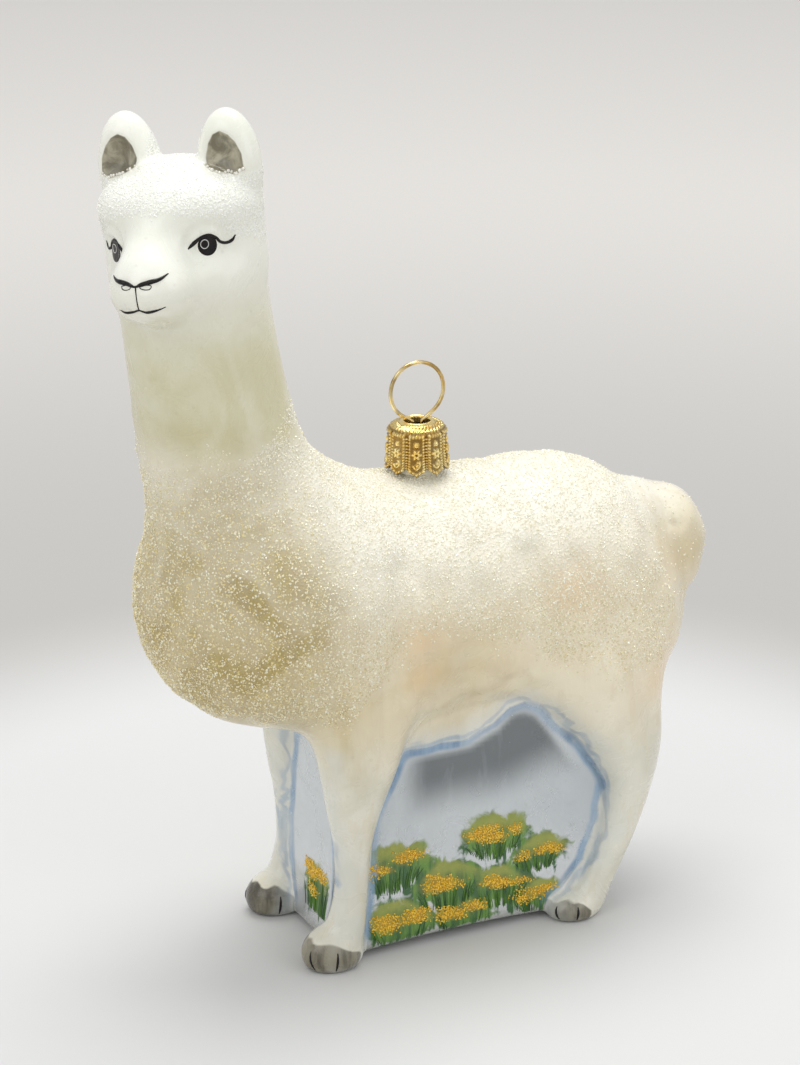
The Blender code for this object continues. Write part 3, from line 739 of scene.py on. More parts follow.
class Mix:
    """A node tree that is written one step at a time, over the object's own place."""

    def __init__(self, tree, where=None):
        self.tree = tree
        self.where = self.node("ShaderNodeTexCoord").outputs["Object"] if where is None else where

    def node(self, kind, inputs=None, **settings):
        """A node with its settings and its inputs, each input a number, vector or socket."""
        made = self.tree.nodes.new(kind)
        for name, setting in settings.items():
            setattr(made, name, setting)
        for name, given in (inputs or {}).items():
            self.feed(made.inputs[name], given)
        return made

    def feed(self, socket, given):
        if isinstance(given, bpy.types.NodeSocket):
            self.tree.links.new(given, socket)
        else:
            socket.default_value = given

    def surface(self, **inputs):
        """Feeds the surface shader's inputs, written with _ for the spaces in their names."""
        shader = self.tree.nodes["Principled BSDF"]
        for name, given in inputs.items():
            self.feed(shader.inputs[name.replace("_", " ")], given)

    def value(self, name):
        """A number stored on the mesh."""
        return self.node("ShaderNodeAttribute", attribute_name=name).outputs["Fac"]

    def high(self):
        """The height above the floor, in metres."""
        return self.node("ShaderNodeSeparateXYZ", {"Vector": self.where}).outputs["Z"]

    def stretched(self, *scale):
        """The place with each direction scaled by its own number."""
        return self.node("ShaderNodeMapping", {"Vector": self.where, "Scale": scale}).outputs["Vector"]

    def noise(self, scale, detail=3.0, roughness=0.55, distortion=0.0, where=None):
        inputs = {"Vector": self.where if where is None else where, "Scale": scale, "Detail": detail,
                  "Roughness": roughness, "Distortion": distortion}
        return self.node("ShaderNodeTexNoise", inputs).outputs["Fac"]

    def cells(self, scale, output="Distance"):
        return self.node("ShaderNodeTexVoronoi", {"Vector": self.where, "Scale": scale}).outputs[output]

    def rise(self, amount, low, high, start=0.0, end=1.0):
        """A smooth rise from start to end as the amount goes from low to high."""
        inputs = {"Value": amount, "From Min": low, "From Max": high, "To Min": start, "To Max": end}
        return self.node("ShaderNodeMapRange", inputs, interpolation_type="SMOOTHSTEP").outputs["Result"]

    def span(self, share, start, end):
        """A smooth run from start to end as the share goes from 0 to 1."""
        return self.rise(share, 0.0, 1.0, start, end)

    def math(self, operation, first, second):
        return self.node("ShaderNodeMath", {0: first, 1: second}, operation=operation).outputs["Value"]

    def plus(self, first, second):
        return self.math("ADD", first, second)

    def minus(self, first, second):
        return self.math("SUBTRACT", first, second)

    def times(self, first, second):
        return self.math("MULTIPLY", first, second)

    def blend(self, share, first, second):
        """Two colours mixed by a share from 0 to 1."""
        made = self.node("ShaderNodeMix", data_type="RGBA", clamp_factor=True)
        self.feed(made.inputs["Factor"], share)
        for number, given in ((6, first), (7, second)):
            self.feed(made.inputs[number], linear(*given) if isinstance(given, tuple) else given)
        return made.outputs[2]

    def coats(self, base, *layers):
        """Colours laid over a base in turn, each with its share from 0 to 1."""
        for share, colour in layers:
            base = self.blend(share, base, colour)
        return base

    def bump(self, height, distance, strength, under=None):
        inputs = {"Height": height, "Distance": distance, "Strength": strength}
        if under is not None:
            inputs["Normal"] = under
        return self.node("ShaderNodeBump", inputs).outputs["Normal"]

    def group(self, tree, **inputs):
        """The outputs of a shared group of nodes."""
        return self.node("ShaderNodeGroup", {"Place": self.where, **inputs}, node_tree=tree).outputs


def shared_group(name, numbers, results, build):
    """A shared group over the place and some numbers; build gives its two results."""
    tree = bpy.data.node_groups.new(name, "ShaderNodeTree")
    tree.interface.new_socket("Place", in_out="INPUT", socket_type="NodeSocketVector")
    for label, default in numbers.items():
        socket = tree.interface.new_socket(label, in_out="INPUT", socket_type="NodeSocketFloat")
        socket.default_value = default
    for label in results:
        tree.interface.new_socket(label, in_out="OUTPUT", socket_type="NodeSocketFloat")
    given = tree.nodes.new("NodeGroupInput").outputs
    mix = Mix(tree, given["Place"])
    ends = tree.nodes.new("NodeGroupOutput").inputs
    for label, value in zip(results, build(mix, *(given[label] for label in numbers))):
        mix.feed(ends[label], value)
    return tree


def brush_marks(mix, streaks, blotches):
    """Soft streaks and blotches left by a wide brush in a thin coat of paint."""
    streak = mix.noise(streaks, 4.0, 0.6, 0.4, mix.stretched(1.0, 1.0, 0.22))
    blotch = mix.noise(blotches, 3.0, 0.55, 0.8)
    return mix.rise(streak, 0.36, 0.66), mix.rise(blotch, 0.36, 0.64)


def handling(mix, size):
    """Faint smears and fine specks that years of handling leave on a glossy finish."""
    smear = mix.noise(mix.times(size, 140.0), 4.0, 0.6, 1.2)
    speck = mix.cells(mix.times(size, 900.0))
    return mix.rise(smear, 0.42, 0.62), mix.rise(speck, 0.16, 0.04)


def sand(mix, grains):
    """Fine grains packed side by side, as glue sown with glitter or sand-struck metal has."""
    shade = mix.node("ShaderNodeSeparateColor", {"Color": mix.cells(grains, "Color")})
    return mix.minus(1.0, mix.cells(grains)), shade.outputs["Red"]


BRUSH_MARKS = shared_group("brush_marks", {"Streaks": 300.0, "Blotches": 60.0}, ("Streak", "Blotch"),
                           brush_marks)
HANDLING = shared_group("handling", {"Size": 1.0}, ("Smear", "Speck"), handling)
SAND = shared_group("sand", {"Grains": 3000.0}, ("Grain", "Shade"), sand)


def new_finish(name):
    """A new material and the mix of its nodes."""
    made = bpy.data.materials.new(name)
    made.use_nodes = True
    return made, Mix(made.node_tree)


def cream_paint(mix, high, broad, blotch):
    """The body's cream, paler higher up as painted light from above, greenish on the neck, whiter on the
    head and the legs.
    """
    return mix.coats(
        mix.blend(blotch, (241, 229, 199), (233, 216, 181)),
        (mix.times(broad, 0.55), (244, 237, 217)),
        # painted light from above: paler from 54 to 70 mm up
        (mix.rise(high, 0.054, 0.070), (250, 246, 230)),
        (mix.rise(high, 0.080, 0.090), mix.blend(blotch, (224, 221, 194), (212, 207, 170))),
        (mix.rise(high, 0.096, 0.116), mix.blend(broad, (248, 248, 238), (241, 242, 229))),
        (mix.rise(mix.plus(high, mix.times(broad, 0.006)), 0.046, 0.033),
         mix.blend(blotch, (231, 228, 212), (217, 214, 196))))


def worked_ochre(mix, base, worked, high, streak):
    """Ochre worked into the chest and shoulders, and soft peach spots on the flanks."""
    fleck = mix.times(mix.rise(streak, 0.55, 0.95), mix.rise(high, 0.090, 0.070, 0.0, 0.26))
    return mix.coats(
        base, (worked, mix.blend(streak, (184, 162, 80), (160, 136, 54))),
        (mix.times(mix.value("peach"), 0.55), (240, 206, 158)), (fleck, (222, 206, 172)))


def glue_bed(mix, worked, high, shade):
    """The bed that holds the glitter, paler higher up as painted light from above."""
    return mix.coats(
        mix.blend(shade, (247, 239, 212), (216, 200, 158)),
        # painted light from above: paler from 52 to 70 mm up
        (mix.rise(high, 0.052, 0.070), (252, 248, 233)),
        (mix.times(worked, 0.85), (150, 128, 42)),
        (mix.rise(high, 0.096, 0.104), (250, 250, 244)))


def toes_and_ears(mix, base, streak):
    """Grey washes on the toes and in the ears."""
    wash = mix.blend(streak, (144, 138, 118), (78, 73, 58))
    cloud = mix.rise(mix.noise(360.0, 4.0, 0.6, 0.8), 0.34, 0.66)
    hollow = mix.coats(mix.blend(cloud, (118, 112, 90), (190, 184, 160)),
                       (mix.times(streak, 0.3), (84, 80, 66)))
    return mix.coats(base, (mix.rise(mix.value("hoof"), -0.1, 0.35), wash),
                     (mix.rise(mix.value("ear"), -0.08, 0.14), hollow))


def silvering(mix, high, broad, streak):
    """Silver under a pale blue lacquer, with painted reflection and shade: darker along the top, paler
    lower down, greyer at the foot.
    """
    return mix.coats(
        mix.blend(broad, (204, 209, 211), (191, 197, 201)),
        # painted reflection: paler below 20 mm, the dark cloud under the top edge; painted shade makes
        # the foot greyer
        (mix.rise(high, 0.020, 0.004), (216, 219, 221)),
        (mix.times(mix.value("dark"), 0.95), (106, 111, 114)),
        (mix.rise(high, 0.0042, 0.0014), (188, 190, 186)),
        (mix.times(mix.rise(streak, 0.6, 1.0), 0.06), (222, 227, 234)))


def painted_plants(mix, silver):
    """The meadow's ragged green and its golden flowers on the silver, and where the plants lie."""
    leaf, deep = mix.value("leaf"), mix.value("leaf_low")
    blades = mix.noise(950.0, 3.0, 0.6, where=mix.stretched(1.0, 1.0, 0.16))
    green = mix.blend(mix.rise(blades, 0.38, 0.60), (94, 140, 30), (28, 88, 18))
    olive = mix.blend(mix.noise(640.0), (126, 142, 36), (166, 166, 66))
    green = mix.blend(mix.rise(mix.minus(leaf, deep), -0.05, 0.55), green, olive)
    foot = mix.rise(mix.minus(deep, leaf), 0.0, 0.5)
    ragged = mix.times(mix.rise(blades, 0.3, 0.7, -0.75, 0.45), foot)
    wet = mix.rise(mix.noise(420.0, 3.0, 0.6, 0.8), 0.2, 0.8, -0.35, 0.35)
    planted = mix.rise(mix.plus(mix.plus(leaf, wet), ragged), 0.22, 0.62)
    return mix.coats(silver, (mix.times(planted, 0.94), green),
                     (mix.times(mix.value("bloom"), 0.8), (206, 162, 30))), planted


def blue_outlines(mix, base, edge, high, streak, blotch):
    """Brushed blue outlines round the panels, with a pale haze beside them."""
    waver = mix.plus(edge, mix.rise(mix.noise(95.0, 2.0), 0.2, 0.8, -0.55, 0.55))
    strayed = mix.plus(edge, mix.rise(mix.noise(130.0, 2.0, 0.5, 1.0), 0.2, 0.8, -0.9, 0.9))
    inner = mix.times(mix.rise(waver, -0.35, 0.15), mix.rise(waver, 1.6, 0.8))
    outer = mix.times(mix.rise(strayed, -1.5, -1.0), mix.rise(strayed, -0.2, -0.7))
    outline = mix.math("MAXIMUM", inner, mix.times(outer, 0.6))
    outline = mix.times(outline, mix.rise(high, 0.0015, 0.005))
    outline = mix.times(outline, mix.span(blotch, 0.6, 1.0))
    haze = mix.times(mix.rise(strayed, -4.2, -0.4), 0.5)
    return mix.coats(base, (mix.times(haze, mix.rise(edge, 0.3, 0.0)), (216, 222, 222)),
                     (mix.times(outline, 0.9), mix.blend(streak, (144, 172, 198), (106, 138, 170))))


def painted_glass():
    """Pearly cream paint on glass, with grey toes and ears and blue-edged silver panels."""
    made, mix = new_finish("painted_glass")
    high, edge = mix.high(), mix.value("edge")
    marks = mix.group(BRUSH_MARKS, Streaks=330.0, Blotches=75.0)
    streak, blotch = marks["Streak"], marks["Blotch"]
    broad = mix.rise(mix.noise(34.0, 3.0, 0.5, 0.6), 0.35, 0.65)
    smear = mix.group(HANDLING, Size=1.0)["Smear"]
    speck = mix.group(HANDLING, Size=0.45)["Speck"]
    grains = mix.group(SAND, Grains=2600.0)

    worked = mix.times(mix.value("blush"), mix.span(blotch, 0.65, 1.0))
    base = cream_paint(mix, high, broad, blotch)
    base = worked_ochre(mix, base, worked, high, streak)
    coat = mix.rise(mix.value("coat"), 0.08, 0.5)
    coated = mix.times(coat, mix.rise(grains["Grain"], 0.35, 0.8))
    base = mix.blend(coated, base, glue_bed(mix, worked, high, grains["Shade"]))
    base = toes_and_ears(mix, base, streak)
    silver, planted = painted_plants(mix, silvering(mix, high, broad, streak))
    panel = mix.rise(edge, 0.05, 0.45)
    base = mix.blend(panel, base, silver)
    base = blue_outlines(mix, base, edge, high, streak, blotch)

    sheen = mix.times(panel, mix.minus(1.0, planted))
    rough = mix.plus(mix.span(smear, 0.24, 0.38), mix.times(coated, 0.3))
    strokes = mix.plus(mix.times(streak, 0.6), mix.times(blotch, 0.8))
    mix.surface(Base_Color=mix.blend(mix.times(speck, 0.10), base, (150, 140, 120)),
                Metallic=mix.times(sheen, 0.45),
                Roughness=mix.blend(sheen, rough, mix.span(smear, 0.16, 0.28)),
                Normal=mix.bump(mix.times(grains["Grain"], coat), 0.00016, 0.7,
                                mix.bump(strokes, 0.00009, 0.6)),
                Coat_Weight=mix.span(planted, 0.45, 0.08), Coat_Roughness=0.08)
    return made


def glitter_finish(name, light, warm, metal):
    """Crushed glass glitter, each grain with its own tone from light to warm."""
    made, mix = new_finish(name)
    tone = mix.value("tone")
    cloud = mix.rise(mix.noise(900.0, 2.0), 0.4, 0.7)
    mix.surface(Base_Color=mix.blend(mix.times(cloud, 0.25), mix.blend(tone, light, warm), warm),
                Roughness=mix.span(tone, 0.06, 0.30),
                Metallic=mix.rise(tone, 0.05, 0.5, 0.3 * metal, metal),
                Coat_Weight=0.6, Coat_Roughness=0.1)
    return made


def enamel(name, dark, light, gloss):
    """Opaque enamel laid on with a fine brush; the pale one paints the highlight ring in each eye."""
    made, mix = new_finish(name)
    marks = mix.group(BRUSH_MARKS, Streaks=1800.0, Blotches=700.0)
    speck = mix.group(HANDLING, Size=2.0)["Speck"]
    shade = mix.blend(mix.times(marks["Streak"], 0.7), dark, light)
    mix.surface(Base_Color=mix.blend(mix.times(speck, 0.15), shade, light),
                Roughness=mix.span(marks["Blotch"], gloss, gloss + 0.18),
                Normal=mix.bump(marks["Streak"], 0.00003, 0.5),
                Coat_Weight=0.1, Coat_Roughness=0.05, Specular_IOR_Level=0.25)
    return made


def leaf_finish():
    """Green paint of the meadow's blades, each stroke with its own tone."""
    made, mix = new_finish("meadow_blades")
    shade = mix.blend(mix.value("tone"), (14, 58, 16), (92, 140, 28))
    mottle = mix.noise(1500.0)
    mix.surface(Base_Color=mix.blend(mix.times(mottle, 0.45), shade, (62, 104, 26)),
                Roughness=mix.rise(mottle, 0.3, 0.7, 0.28, 0.5), Coat_Weight=0.1)
    return made


def gold(name, bright, warm, deep, stamped):
    """Bright gold plating, with painted shade and reflection: darker and browner in the cap's hollows,
    and in soft random clouds on the wire.
    """
    made, mix = new_finish(name)
    marks = mix.group(HANDLING, Size=1.6)
    speck = mix.group(HANDLING, Size=1.8)["Speck"]
    grain = mix.group(SAND, Grains=5200.0)["Grain"]
    # painted shade in the cap's hollows; on the wire, painted reflection in soft random clouds
    painted_darkening = mix.value("hollow") if stamped else mix.rise(mix.noise(210.0, 2.0), 0.42, 0.66, 0.0, 0.85)
    shade = mix.blend(painted_darkening, mix.blend(marks["Smear"], bright, warm), deep)
    mix.surface(Base_Color=mix.blend(mix.times(speck, 0.25), shade, (170, 124, 56)),
                Roughness=mix.span(marks["Smear"], 0.10, 0.22),
                Normal=mix.bump(grain, 0.00005 if stamped else 0.00001, 0.5), Metallic=1.0)
    return made


def bare_glass():
    """The glass stub under the cap, over which the cream paint runs thin."""
    made, mix = new_finish("stub_glass")
    smear = mix.group(HANDLING, Size=1.3)["Smear"]
    ring = mix.noise(1300.0, where=mix.stretched(0.2, 0.2, 1.0))
    shade = mix.blend(smear, (242, 238, 218), (224, 218, 190))
    mix.surface(Base_Color=mix.blend(mix.times(ring, 0.3), shade, (204, 200, 168)),
                Roughness=mix.span(smear, 0.08, 0.2),
                Normal=mix.bump(ring, 0.00003, 0.4), Coat_Weight=0.6)
    return made


# ---- grains and strokes that lie on the skin

GLITTER_ZONES = (   # name, z from and to, y from and to, grains a square mm, sizes, how far they tip
    ("glitter_head", (101.0, 200.0), (-200.0, 200.0), 9.0, (0.10, 0.18), 0.30),
    ("glitter_chest", (0.0, 101.0), (-200.0, -9.0), 6.4, (0.12, 0.25), 0.75),
    ("glitter_shoulder", (0.0, 101.0), (-9.0, 12.0), 6.4, (0.12, 0.25), 0.75),
    ("glitter_back", (0.0, 101.0), (12.0, 200.0), 6.4, (0.12, 0.25), 0.75),
)
GRAIN_FLATNESS = 0.62
MAP_EDGE = 0.02            # free margin of the grains' unwrap
GRAIN_PATCH = 0.0015       # half size of one grain's patch in it
SINK = 0.06                # painted strokes lie this deep in the skin
ON_SKIN = 0.05             # a place this near the skin counts as met
REACH_STEPS = 60
BEADS = 13                 # along the foot of each ear's hollow
EYE_MIDDLES = {1: (7.40, 6.80, 0.38), -1: (7.05, 7.10, -0.10)}
EYE_HALVES = {1: (1.46, 1.44), -1: (1.85, 1.62)}        # half their width and height
EYE_BULGE = 0.20
UPPER_LID = ((-3.0, -0.10, 0.12), (-2.2, 0.55, 0.30), (-1.1, 1.25, 0.32), (0.2, 1.55, 0.30),
             (1.3, 1.0, 0.27), (2.0, 0.25, 0.24), (3.0, -0.05, 0.24), (3.9, 0.15, 0.26),
             (4.5, 0.85, 0.12))
GLINT = 0.60               # radius of the painted highlight, a pale ring in each eye, and its middle
GLINT_MIDDLE = (-0.42, 0.28)
GLINT_LIFT = 0.19
NOSE_LINE = ((-4.35, -2.15, 0.10), (-3.4, -2.60, 0.27), (-2.3, -2.80, 0.38), (-1.0, -3.05, 0.32),
             (0.0, -3.35, 0.20), (1.0, -3.05, 0.32), (2.3, -2.80, 0.36), (3.4, -2.55, 0.27),
             (4.25, -2.0, 0.11))
NOSTRIL = ((0.75, -3.35), (1.5, -3.25), (2.3, -3.35), (2.1, -3.8), (1.4, -3.85), (0.8, -3.6),
           (0.75, -3.35))
LIP_LINE = ((0.05, -3.35, 0.15), (0.1, -5.0, 0.13), (0.05, -6.75, 0.15))
MOUTH_LINE = ((-3.7, -7.0, 0.09), (-2.5, -7.25, 0.18), (-1.2, -7.15, 0.22), (0.0, -6.80, 0.20),
              (1.1, -7.2, 0.24), (2.5, -7.0, 0.19), (3.8, -6.55, 0.09))
TOE_WIDTHS = (0.12, 0.20, 0.22, 0.18, 0.09)
TOE_LINE_FOOT = 0.7
TOE_LINE_TALL = (3.1, 2.1)                  # on the front and on the hind hooves
EAR_FOOT = (5.5, 7.6, 10.0, 11.3), (10.8, 9.9, 9.3, 10.1)       # left and up along an ear's foot


def small_shape(build):
    """Corners and triangles of a small shape made once, to be laid down many times."""
    mesh = mesh_from("small", build)
    mesh.calc_loop_triangles()
    faces = np.array([face.vertices[:] for face in mesh.loop_triangles])
    places = corners_of(mesh)
    bpy.data.meshes.remove(mesh)
    return places, faces


def many(shape, middles, ways, sizes, chance, tip):
    """Copies of a small shape: each at its middle, facing about its way, with its own size."""
    corners, faces = shape
    count = len(middles)
    aim = unit(ways + chance.normal(size=(count, 3)) * tip)
    side = unit(np.cross(aim, chance.normal(size=(count, 3))))
    axes = np.stack([side, np.cross(aim, side), aim], axis=1)
    placed = np.einsum("vk,nk,nkj->nvj", corners, sizes, axes) + middles[:, None, :]
    numbers = faces[None] + (np.arange(count) * len(corners))[:, None, None]
    mesh = bpy.data.meshes.new("many")
    mesh.vertices.add(count * len(corners))
    mesh.loops.add(numbers.size)
    mesh.polygons.add(count * len(faces))
    mesh.vertices.foreach_set("co", placed.ravel())
    mesh.loops.foreach_set("vertex_index", numbers.ravel())
    mesh.polygons.foreach_set("loop_start", np.arange(0, numbers.size, 3))
    mesh.update(calc_edges=True)
    return mesh


def give_tones(mesh, shape, tones):
    """Each copy's own tone, on all its corners."""
    give_value(mesh, "tone", np.repeat(tones, len(shape[0])))


def lay_bake_map(mesh, shape, roots, chance):
    """Each grain's patch of the unwrap, at its root's place on the skin rolled out flat."""
    x, y, z = roots.T
    spots = []
    for way in (np.arctan2(x, z - z.mean() + 0.001), y):
        share = (way - way.min()) / max(np.ptp(way), 1e-6)
        spots.append(MAP_EDGE + (1.0 - 2.0 * MAP_EDGE) * share)
    patch = chance.uniform(-GRAIN_PATCH, GRAIN_PATCH, size=(len(shape[1]) * 3, 2))
    layer = mesh.uv_layers.new(name="OFBake")
    layer.data.foreach_set("uv", (np.stack(spots, axis=1)[:, None, :] + patch[None]).ravel())


class Skin:
    """The finished skin's triangles, for sowing things on it."""

    def __init__(self, mesh):
        mesh.calc_loop_triangles()
        self.places = corners_of(mesh)
        flat = np.empty(len(mesh.loop_triangles) * 3, int)
        mesh.loop_triangles.foreach_get("vertices", flat)
        self.faces = flat.reshape(-1, 3)
        one, two, three = (self.places[self.faces[:, index]] for index in range(3))
        across = np.cross(two - one, three - one)
        self.area = np.linalg.norm(across, axis=1) / 2.0
        self.normals = across / np.maximum(2.0 * self.area, 1e-12)[:, None]

    def sow(self, share, per_square_mm, chance):
        """Random places on the skin, thickest where the share is 1, and the way out there."""
        weight = self.area * share[self.faces].mean(axis=1)
        count = int(weight.sum() * per_square_mm)
        picked = chance.choice(len(weight), size=count, p=weight / weight.sum())
        first = np.sqrt(chance.uniform(size=count))
        second = chance.uniform(size=count)
        parts = np.stack([1.0 - first, first * (1.0 - second), first * second], axis=1)
        places = np.einsum("nk,nkj->nj", parts, self.places[self.faces[picked]])
        return places, self.normals[picked]


def add_grain(work):
    """A crushed grain of glass with eight facets."""
    bmesh.ops.create_uvsphere(work, u_segments=4, v_segments=2, radius=1.0)
    bmesh.ops.triangulate(work, faces=work.faces)


def grain_sizes(chance, count, small, large, least):
    """Three half sizes for each grain: one size of its own, made a little uneven."""
    return chance.uniform(small, large, size=(count, 1)) * chance.uniform(least, 1.2, size=(count, 3))


def glitter_coat(skin, clear, warm):
    """The sown glitter, in pieces for the head, the chest, the shoulders and the back."""
    shape = small_shape(add_grain)
    share = coat_share(skin.places)
    x, y, z = skin.places.T
    for number, (name, (low, high), (front, back), thick, grain, tip) in enumerate(GLITTER_ZONES):
        chance = np.random.default_rng(100 + number)
        inside = (z >= low) * (z < high) * (y >= front) * (y < back)
        roots, ways = skin.sow(share * inside, thick, chance)
        sizes = grain_sizes(chance, len(roots), *grain, 0.6)
        sizes[:, 2] *= GRAIN_FLATNESS
        mesh = many(shape, roots + ways * (0.25 * sizes[:, 2:3]), ways, sizes, chance, tip)
        ochre = ochre_share(roots)
        tones = chance.uniform(0.0, 1.0, size=len(roots)) ** (1.4 - 0.4 * ochre)
        # grains warmer where the ochre lies, and, as painted shade, warmer and darker lower on the body
        ochre_and_low_shade = np.maximum(ochre, 0.6 * ramp(-roots[:, 2], -62.0, -46.0))
        give_tones(mesh, shape, tones * (0.12 + 0.88 * ochre_and_low_shade))
        lay_bake_map(mesh, shape, roots, chance)
        hand_over(name, mesh, clear if name == "glitter_head" else warm, smooth=False)


def reach_skin(starts, way):
    """Where straight lines from outside, all going one way, first meet the painted glass."""
    way = unit(np.array(way, float))
    places = np.array(starts, float)
    for step in range(REACH_STEPS):
        places = places + np.clip(0.8 * skin_field(places), -1.0, 8.0)[:, None] * way
    return places


def stroke_mesh(lines, sides=8):
    """One mesh of round tapering strokes; each line is an array of (x, y, z, radius)."""
    curve = bpy.data.curves.new("strokes", "CURVE")
    curve.dimensions = "3D"
    curve.bevel_depth = 1.0
    curve.bevel_resolution = sides // 2 - 2
    curve.use_fill_caps = True
    for line in lines:
        spline = curve.splines.new("POLY")
        spline.points.add(len(line) - 1)
        for point, (x, y, z, radius) in zip(spline.points, line):
            point.co = (x, y, z, 1.0)
            point.radius = radius
    return evaluated(new_object("strokes", curve))


def smooth_line(stations, steps=6):
    """The places and the half widths of a smooth line through (across, up, half width)."""
    run = along([(across, up, 0.0, wide) for across, up, wide in stations], steps)
    return run[:, :2], run[:, 3:4]


def head_line(stations):
    """A stroke on the face; each station is left, up and half width, seen from in front."""
    spots, widths = smooth_line(stations)
    places = reach_skin([in_head(left, 30.0, up) for left, up in spots], -HEAD[1])
    places -= out_of(glass, places) * SINK
    return np.hstack([places, widths])


class EyeSpot:
    """The flat place on the head where one eye is painted."""

    def __init__(self, side):
        left, forward, up = EYE_MIDDLES[side]
        self.aim = np.array([0.72 * side, 0.69, 0.0]) @ HEAD
        start = in_head(left * side, forward, up) + 12.0 * self.aim
        self.middle = reach_skin([start], -self.aim)[0]
        self.out = out_of(glass, self.middle[None])[0]
        self.wide = unit(np.cross(HEAD[2], self.out) * side)
        self.tall = np.cross(self.out, self.wide) * side

    def on_skin(self, backwards, up):
        """The places on the skin beside the eye's middle."""
        spots = self.middle + backwards * self.wide + up * self.tall
        return reach_skin(spots + 6.0 * self.aim, -self.aim)

    def line(self, stations, steps=6, lift=-SINK):
        """A stroke beside the eye; stations are backwards, up and half width."""
        spots, widths = smooth_line(stations, steps)
        places = self.on_skin(spots[:, :1], spots[:, 1:])
        places += out_of(glass, places) * lift
        return np.hstack([places, widths])


def painted_eye(node, side, black, pale):
    """One eye: a low black drop of enamel, the painted highlight ring in it, and the lid and lash over
    it.
    """
    spot = EyeSpot(side)
    name = "painted_" + node
    mesh = mesh_from(name, lambda work: bmesh.ops.create_uvsphere(
        work, u_segments=40, v_segments=20, radius=1.0))
    wide, tall = EYE_HALVES[side]
    flat = corners_of(mesh)
    on_glass = spot.on_skin(flat[:, :1] * wide, flat[:, 1:2] * tall)
    set_corners(mesh, on_glass + flat[:, 2:3] * EYE_BULGE * spot.out)
    hand_over(name, mesh, black, nodes=[node])
    ring = []
    for step in range(25):
        angle = 2.0 * pi * step / 24.0
        ring.append((GLINT_MIDDLE[0] * side + GLINT * cos(angle),
                     GLINT_MIDDLE[1] + GLINT * 1.1 * sin(angle), 0.055))
    hand_over(name + "_glint", stroke_mesh([spot.line(ring, 2, GLINT_LIFT)]), pale)
    return spot.line(UPPER_LID)


def painted_face(black, pale):
    """The eyes, lids, nose, nostrils and mouth."""
    lines = [painted_eye("eye_left", 1, black, pale), painted_eye("eye_right", -1, black, pale)]
    lines += [head_line(NOSE_LINE), head_line(LIP_LINE), head_line(MOUTH_LINE)]
    for side in (-1, 1):
        lines.append(head_line([(side * left, up, 0.10) for left, up in NOSTRIL]))
    hand_over("face_lines", stroke_mesh(lines), black)


def toe_lines(black):
    """Short dark lines that part the toes: one down the front of each hoof, one on each side."""
    lines = []
    share = np.linspace(0.0, 1.0, len(TOE_WIDTHS))
    level = np.zeros(len(share))
    for (none, middle_x, (middle_y, up), radii, reach), tall in zip(LEGS, TOE_LINE_TALL):
        height = TOE_LINE_FOOT + tall * share
        for side in (-1, 1):
            rows = ((2.0 - 0.5 * share, level - 9.0, (0.0, 1.0, 0.0)),
                    (level + 9.0, 0.2 * share - 1.0, (-side, 0.0, 0.0)),
                    (level - 6.5, 0.2 * share - 1.0, (side, 0.0, 0.0)))
            for out, back, way in rows:
                starts = np.stack([side * (middle_x + out), middle_y + back, height], axis=1)
                places = reach_skin(starts, way)
                if (np.abs(skin_field(places)) < ON_SKIN).all():
                    places -= out_of(glass, places) * SINK
                    lines.append(np.hstack([places, np.array(TOE_WIDTHS)[:, None]]))
    hand_over("toe_lines", stroke_mesh(lines), black)


def ear_beads(finish):
    """Small round beads that lie along the foot of each painted ear hollow."""
    shape = small_shape(lambda work: bmesh.ops.create_icosphere(work, subdivisions=2, radius=1.0))
    chance = np.random.default_rng(7)
    middles = []
    for side in (-1, 1):
        for step in range(BEADS):
            left = 5.5 + 5.7 * step / (BEADS - 1.0) + chance.uniform(-0.12, 0.12)
            up = np.interp(left, *EAR_FOOT) + chance.uniform(-0.15, 0.15)
            middles.append(in_head(side * left, 12.0, up))
    middles = reach_skin(middles, -HEAD[1])
    ways = out_of(glass, middles)
    sizes = np.repeat(chance.uniform(0.18, 0.30, size=(len(middles), 1)), 3, axis=1)
    mesh = many(shape, middles + ways * 0.1, ways, sizes, chance, 0.1)
    give_tones(mesh, shape, chance.uniform(0.0, 0.6, size=len(middles)))
    hand_over("ear_beads", mesh, finish)


# ---- the painted meadow

BLADE_RISE = np.linspace(0.0, 1.0, 5)       # the five points of each blade, from foot to tip
BLADE_TAPER = np.array([0.7, 1.0, 0.9, 0.6, 0.2])
SIDE_BLADES = 48           # blades in each tuft on the sides, and in the one in front
FRONT_BLADES = 40
BESIDE = 24.0              # the strokes start this far out, beside and before the glass
BEFORE = -9.0
FLOWER_GRAINS = 26.0       # grains of golden glitter a square millimetre


